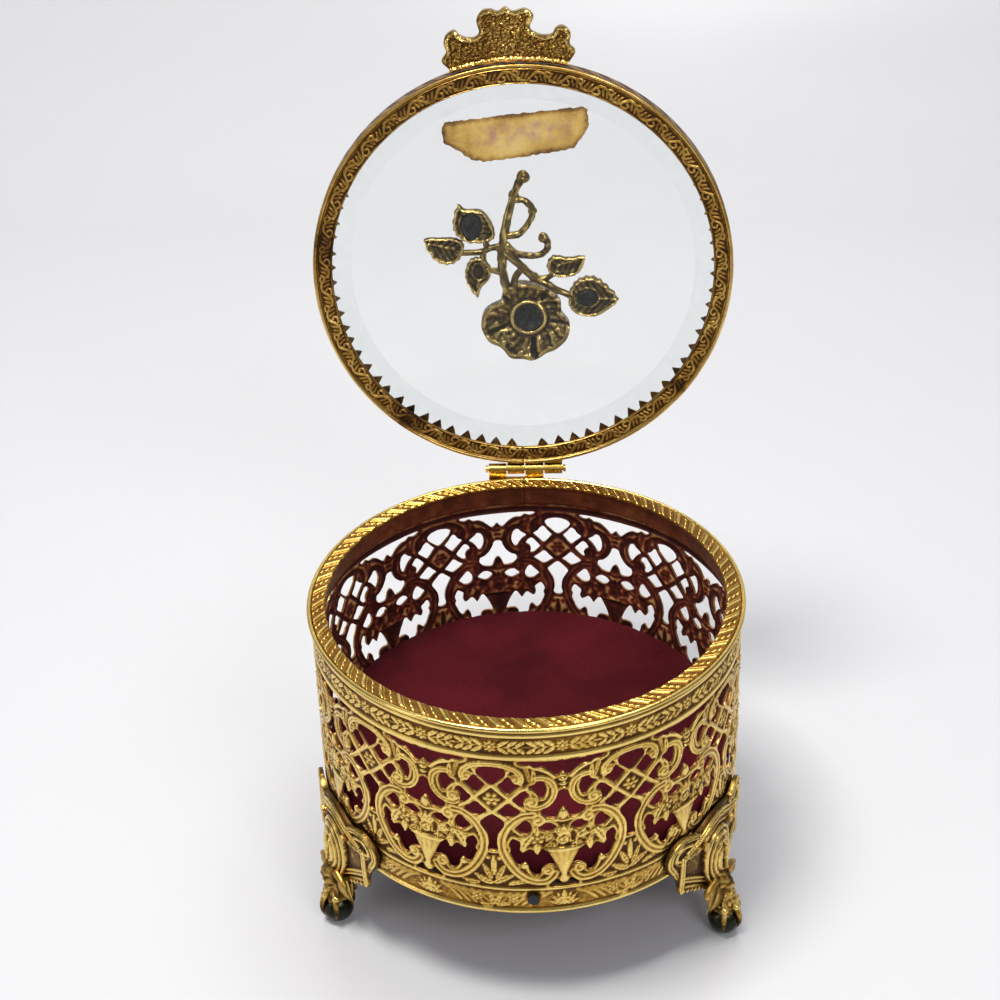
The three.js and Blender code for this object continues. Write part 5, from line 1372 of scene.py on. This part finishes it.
# ---- feet -----------------------------------------------------------------------------------------------
def build_foot(name, az, ball_r):
    b = Parts()
    cell = 0.24
    T, Z = np.meshgrid(np.arange(-22, 22 + cell, cell), np.arange(12.5, 45.5 + cell, cell))
    half = [(0, 40.4), (3.4, 40.1), (6.6, 39.2), (9.4, 38.7), (12.0, 39.6), (15.2, 40.0), (18.2, 38.6), (20.3, 35.6), (20.0, 32.4), (18.6, 29.8), (17.2, 27.6), (16.2, 25.2), (15.9, 22.6), (14.9, 20.9), (13.6, 21.3), (12.4, 20.2), (11.2, 20.5), (10.0, 19.1), (8.9, 19.4), (7.8, 18.0), (6.6, 18.1), (5.4, 16.8), (3.6, 15.6), (1.8, 14.4), (0, 14.0)]
    O = [tuple(p) for p in curve(half, 5)] + [tuple(p) for p in curve(mirrored(half), 5)][1:-1]
    f = -poly_sdf(T, Z, np.array(O), 30.0)
    ab = np.abs(T)
    f = np.where(np.abs(f) < 1e-4, 1e-4, f)
    e = np.clip(f, 0, None)
    H = 0.55 * np.sqrt(np.clip(1 - ((e - 0.55) / 0.6) ** 2, 0, 1))
    up = lambda h: np.maximum(H, h)
    # feather ribs from the top of the centre, sweeping out to the wings
    for k in range(5):
        o = 1.15 * k
        H = up(bar(ab, Z, [(0.0, 39.6 - o * 0.8), (3.4, 38.9 - o), (6.8, 37.2 - o), (10.2, 35.6 - o * 0.8), (13.2, 34.4 - o * 0.4)], 0.66, 1.5 - 0.05 * k + 0.35 * (k % 2), taper=(1, 0.55)))
    H = up(bar(ab, Z, [(8.6, 37.6), (12.2, 38.9), (15.8, 38.9), (18.6, 36.8), (19.3, 33.6), (17.9, 30.6)], 0.95, 1.75, 0.5))
    H = up(bar(ab, Z, [(11.4, 36.4), (14.2, 37.2), (16.6, 36.2), (17.2, 34.2), (15.8, 33.4)], 0.7, 1.5))
    # frame of the window: bar above, post outside, bar below with a bead line
    H = up(bar(ab, Z, [(3.6, 33.6), (8.0, 33.4), (13.6, 33.2), (14.9, 32.0)], 1.0, 1.9, 0.4))
    H = up(bar(ab, Z, [(14.6, 33.0), (14.7, 29.0), (15.0, 25.2), (15.3, 22.4)], 1.05, 2.0, 0.35))
    H = up(bar(ab, Z, [(1.8, 17.4), (5.4, 20.6), (9.4, 23.2), (13.2, 25.4), (14.8, 26.2)], 1.15, 2.0, 0.45))
    H = up(bar(ab, Z, [(4.6, 17.6), (8.6, 20.4), (12.6, 22.6), (15.0, 23.6)], 0.7, 1.2))
    for k in range(6):
        t = k / 5
        H = up(dome(ab, Z, 6.3 + 8.0 * t, 18.3 + 3.6 * t, 0.72, 1.4, 0.95, 35))
    # wing: curled leaf and stippled web
    H = up(leaf(ab, Z, 15.6, 31.6, 19.2, 35.4, 1.1, 1.3, 4, 0.5))
    H = up(leaf(ab, Z, 16.4, 27.4, 18.6, 33.4, 1.1, 1.2, 4))
    H = up(0.35 + 0.4 * np.clip(fbm(T * 0.9, Z * 0.9, 3), 0, 1) * step(0.6, 1.4, e))
    # knee: tall shell of fine flutes round a narrow slot
    q = (T / 5.4) ** 2 + ((Z - 25.6) / 9.0) ** 2
    body = np.clip(1 - q, 0, 1) ** 0.5
    lines = np.cos(2 * np.pi * 4.6 * np.sqrt(np.clip(q, 0, 1)))
    H = np.where(q < 1, np.maximum(H, 1.3 + 3.3 * body + 0.30 * lines * step(0.05, 0.2, q)), H)
    slot = ((T) / 1.15) ** 2 + ((Z - 26.0) / 5.0) ** 2
    H = H - 2.6 * np.clip(1 - slot, 0, 1) ** 0.5
    H = np.maximum(H, bar(T, Z, [(0, 34.9), (-2.6, 34.0), (-4.8, 31.0), (-5.7, 26), (-4.9, 20.6), (-2.8, 17.2), (0, 15.8), (2.8, 17.2), (4.9, 20.6), (5.7, 26), (4.8, 31.0), (2.6, 34.0), (0, 34.9)], 0.8, 2.7))
    # lower part swells out towards the leg
    H = H + 1.6 * step(24, 14, Z) * np.exp(-((T / 7.0) ** 2))
    H = H * (0.94 + 0.06 * fbm(T * 0.6, Z * 0.6, 9)) + 0.05 * fbm(T * 1.6, Z * 1.6, 10)
    cav = np.clip(cavity(H * 0.62, cell, False, 0.5, 1.8) * 0.95, 0, 1)
    R0 = WALL_R + 0.75
    A = az + np.degrees(T / 59.3)
    R = R0 + 0.6 + H * (0.58 + 0.26 * np.exp(-((T / 8.5) ** 2)))
    back = np.broadcast_to(R0 + 0.0 * T, T.shape) + np.clip(H - 2.0, 0, 9) * 0.25 + 1.0 * step(24, 14, Z) * np.exp(-((T / 7.0) ** 2))
    V, F, vals = shell("x", f, ring(A, R, Z), ring(A, back, Z), {"cav": (cav, 0.3 + 0 * cav)}, join=True)
    b.add(V, F, {"cav": vals["cav"]})
    c, s = math.cos(rad(az)), math.sin(rad(az))

    def put(V):  # x along the wall, y outwards radius, z up
        V = np.asarray(V, float)
        x, y, z = V[:, 0], V[:, 1], V[:, 2]
        return np.stack([x * c + y * s, x * s - y * c, z], -1)

    br = ball_r
    # leg with an ankle, four jointed claws, leaves of the collar
    b.tube([(0, 60.8, 20.5), (0, 61.6, 17.4), (0, 0.5 * (br + 61.6), 14.6), (0, br, 11.8), (0, br, 9.6), (0, br, 7.6)], [1.6, 2.5, 2.6, 2.3, 2.7, 3.3], sides=28, n=8, cav=0.5, to=put, rough=0.12, seed=4, ribs=7, up=(1, 0, 0))
    for a, k in ((0, 0), (64, 1), (-64, 2), (180, 3)):
        cs, sn = math.cos(rad(a)), math.sin(rad(a))
        P = lambda r, z: (sn * r, br + cs * r, z)
        b.tube([P(1.5, 13.6), P(2.5, 11.2), P(3.75, 8.9), P(4.5, 6.6), P(4.55, 4.4), P(4.0, 2.5)], [1.1, 1.05, 0.9, 0.75, 0.55, 0.3], sides=14, n=6, cav=0.62, to=put, rough=0.10, seed=20 + k)
        b.ball(P(3.4, 9.6), 1.2, 18, 12, (1, 1, 0.9), cav=0.95, to=put)
    for sx in (-1, 1):  # small volutes hanging beside the ankle
        sp = [(sx * (6.6 + 2.0 * math.cos(t) * (1 - t / 9)), 60.6, 16.4 + 2.0 * math.sin(t) * (1 - t / 9)) for t in np.linspace(2.2, 7.6, 14)]
        b.tube(sp, [1.0, 0.9, 0.8, 0.75], sides=12, n=3, cav=0.72, to=put, up=(0, 1, 0))
        b.tube([(sx * 3.0, 60.9, 19.0), (sx * 6.0, 60.8, 18.4), (sx * 7.8, 60.6, 17.4)], [1.3, 1.0, 0.8], sides=12, n=5, cav=0.6, to=put)
    # pointed drip leaves of the collar, on both flanks and towards the axis
    for (ang, tipz, out) in ((-118, 6.4, 3.6), (118, 6.4, 3.6), (180, 7.4, 4.2)):
        n, m = 18, 11
        ss, tt = np.meshgrid(np.linspace(0, 1, n), np.linspace(-1, 1, m), indexing="ij")
        w = 2.9 * np.sin(np.pi * np.clip(ss, 0.0, 1) ** 0.8 * 0.93 + 0.2) ** 0.9 * (1 - ss**4)
        x = tt * np.maximum(w, 0.05)
        z = 18.0 + (tipz - 18.0) * ss
        r = 2.0 + out * ss**0.7 * 0.8 - 0.5 * tt**2 + 0.30 * np.cos(np.pi * 3 * tt)
        front_ = np.stack([x, r, z], -1).reshape(-1, 3)
        rear = front_ - np.array([0, 0.75, 0])
        ca, sa = math.cos(rad(ang)), math.sin(rad(ang))
        def turn(P):
            return np.stack([P[:, 0] * ca + P[:, 1] * sa, -P[:, 0] * sa + P[:, 1] * ca + br - 0.6, P[:, 2]], -1)
        idx = np.arange(n * m).reshape(n, m)
        q = np.stack([idx[:-1, :-1].ravel(), idx[:-1, 1:].ravel(), idx[1:, 1:].ravel(), idx[1:, :-1].ravel()], 1)
        N = n * m
        bd = np.r_[idx[0, :], idx[1:, -1], idx[-1, -2::-1], idx[-2:0:-1, 0]]
        nb = np.roll(bd, -1)
        side = np.stack([bd, nb, nb + N, bd + N], 1)
        cv = np.tile(np.clip(0.62 + 0.3 * np.cos(np.pi * 3 * tt).ravel(), 0, 1), 2)
        b.add(put(turn(np.vstack([front_, rear]))), [q, q[:, ::-1] + N, side], {"cav": cv})
    for V_, cv_ in zip(b.V, range(len(b.A["cav"]))):  # lower parts painted darker towards the floor: painted shade
        zz = V_[:, 2]
        b.A["cav"][cv_] = b.A["cav"][cv_] * (0.30 + 0.70 * step(4.0, 9.5, zz))
    o = b.make(name + "_cast", sharp=55)
    outward(o)
    thin(o, 120000, 55)
    dress(o, "foot", "box", [name])
    # ball: dark, painted lighter on top as a painted highlight, flat where it stands
    g = Parts()
    g.ball((0, br, BALL_Z + 0.02), BALL_R + 0.12, 48, 32, fn=lambda T_, P_: 0.010 * noise(T_ * 5, P_ * 4, 3), cav=0.45, to=None)
    V = np.vstack(g.V)
    V[:, 2] = np.maximum(V[:, 2], 0.0)
    # hi: the ball's top painted lighter, a painted highlight
    hi = np.clip((V[:, 2] - 4.5) / 4, 0, 1)
    o2 = to_mesh(name + "_ball", put(V), g.F, {"cav": 0.35 + 0.45 * hi}, 60)
    outward(o2)
    dress(o2, "ball", "box")
    return o


# ---- everything ------------------------------------------------------------------------------------------
import time as _t
_t0 = _t.perf_counter()
def _lap(what):
    print(f"{what}: {_t.perf_counter() - _t0:.1f} s")

build_wall(); _lap("wall")
build_rim(); _lap("rim")
build_pad(); build_under(); _lap("pads")
build_lid_frame(); _lap("lid frame")
build_glass(); build_label(); build_tab(); _lap("tab")
build_rose(); build_cement(); _lap("rose")
for _n, _a, _r in zip(("foot_left", "foot_right", "foot_back"), FOOT_AZ, FOOT_R):
    build_foot(_n, _a, _r)
_lap("feet")
for _n in ("hinge_leaf_box", "hinge_leaf_lid", "hinge_pin") + tuple(f"foot_{s}_rivet_{k}" for s in ("left", "right", "back") for k in (1, 2)):
    dress_cad(_n, "hinge")
for _n in ("base_tack_1", "base_tack_2", "base_tack_3"):
    dress_cad(_n, "steel")
dress_cad("base_board", "board")


# ---- camera, floor and light ---------------------------------------------------------------------------------
D, PITCH, YAW, ROLL, CAM_AZ, TZ = 514.3446, 0.5643, -0.0117, -0.025, 0.0212, 119.0371
_pos = np.array([D * math.cos(PITCH) * math.sin(CAM_AZ), -D * math.cos(PITCH) * math.cos(CAM_AZ), TZ + D * math.sin(PITCH)])
_fwd = -(_pos - np.array([0, 0, TZ])) / D
_right = np.cross(_fwd, [0, 0, 1]); _right /= np.linalg.norm(_right)
_up = np.cross(_right, _fwd)
_f2 = math.cos(YAW) * _fwd + math.sin(YAW) * _right
_r2 = math.cos(YAW) * _right - math.sin(YAW) * _fwd
_r3 = math.cos(ROLL) * _r2 + math.sin(ROLL) * _up
_u3 = math.cos(ROLL) * _up - math.sin(ROLL) * _r2
_eye = (_pos + SHIFT + np.array([0, 0, -0.62])) / 1000
cam = bpy.data.cameras.new("camera")
cam.lens, cam.sensor_width, cam.sensor_fit = 72.0, 36.0, "HORIZONTAL"
cam.clip_start, cam.clip_end = 0.01, 20
cam_o = bpy.data.objects.new("camera", cam)
bpy.context.scene.collection.objects.link(cam_o)
cam_o.matrix_world = Matrix(((_r3[0], _u3[0], -_f2[0], _eye[0]), (_r3[1], _u3[1], -_f2[1], _eye[1]), (_r3[2], _u3[2], -_f2[2], _eye[2]), (0, 0, 0, 1)))
bpy.context.scene.camera = cam_o


def stage():
    # floor that sweeps up into a wall behind
    y0, zt, R = 0.42, 1.6, 0.25
    line = [(-6.0, 0.0), (0.0, 0.0), (y0, 0.0)]
    line += [(y0 + R * math.sin(t), R - R * math.cos(t)) for t in np.linspace(0.08, math.pi / 2, 14)]
    line += [(y0 + R, zt)]
    V = [(x, y, z) for y, z in line for x in (-6.0, 6.0)]
    F = [(2 * i, 2 * i + 1, 2 * i + 3, 2 * i + 2) for i in range(len(line) - 1)]
    me = bpy.data.meshes.new("floor")
    me.from_pydata(V, [], F)
    me.polygons.foreach_set("use_smooth", np.ones(len(me.polygons), bool))
    o = bpy.data.objects.new("floor", me)
    bpy.context.scene.collection.objects.link(o)
    m, nt, b = new_mat("floor_pale")
    b.inputs["Base Color"].default_value = (0.55, 0.55, 0.565, 1)
    b.inputs["Roughness"].default_value = 0.27
    b.inputs["Specular IOR Level"].default_value = 0.45
    me.materials.append(m)


stage()


def area(name, loc, target, size, power, color=(1, 1, 1)):
    d = bpy.data.lights.new(name, "AREA")
    d.shape, d.size, d.size_y = "RECTANGLE", size[0], size[1]
    d.energy, d.color = power, color
    o = bpy.data.objects.new(name, d)
    bpy.context.scene.collection.objects.link(o)
    o.location = loc
    o.rotation_euler = (Vector(target) - Vector(loc)).to_track_quat("-Z", "Y").to_euler()
    return o


area("key", (-0.24, -0.13, 1.12), (0, 0, 0.06), (0.34, 0.30), 11.8, (1.0, 0.985, 0.96))
area("fill", (0.45, -0.88, 0.92), (0, 0, 0.06), (0.5, 0.4), 4.3, (0.97, 0.98, 1.0))
area("left", (-0.95, -0.55, 0.45), (0, 0, 0.08), (0.35, 0.7), 1.3, (1.0, 0.99, 0.97))
area("back", (0.25, 0.30, 1.25), (0, 0.05, 0.1), (0.7, 0.4), 5.6, (1.0, 1.0, 1.0))
w = bpy.data.worlds.new("studio")
bpy.context.scene.world = w
w.use_nodes = True
wn = w.node_tree
bg = wn.nodes["Background"]
tc = node(wn, "ShaderNodeTexCoord")
sep = node(wn, "ShaderNodeSeparateXYZ")
wn.links.new(tc.outputs["Generated"], sep.inputs[0])
wn.links.new(ramp(wn, math_node(wn, "MULTIPLY_ADD", sep.outputs["Z"], 0.5, 0.5), [(0.0, (0.20, 0.19, 0.18)), (0.48, (0.20, 0.19, 0.185)), (0.62, (0.42, 0.42, 0.43)), (0.8, (1.0, 1.0, 1.02)), (1.0, (0.85, 0.85, 0.88))]), bg.inputs["Color"])
bg.inputs["Strength"].default_value = 0.42
bpy.context.scene.view_settings.view_transform = "Standard"
bpy.context.scene.view_settings.look = "None"
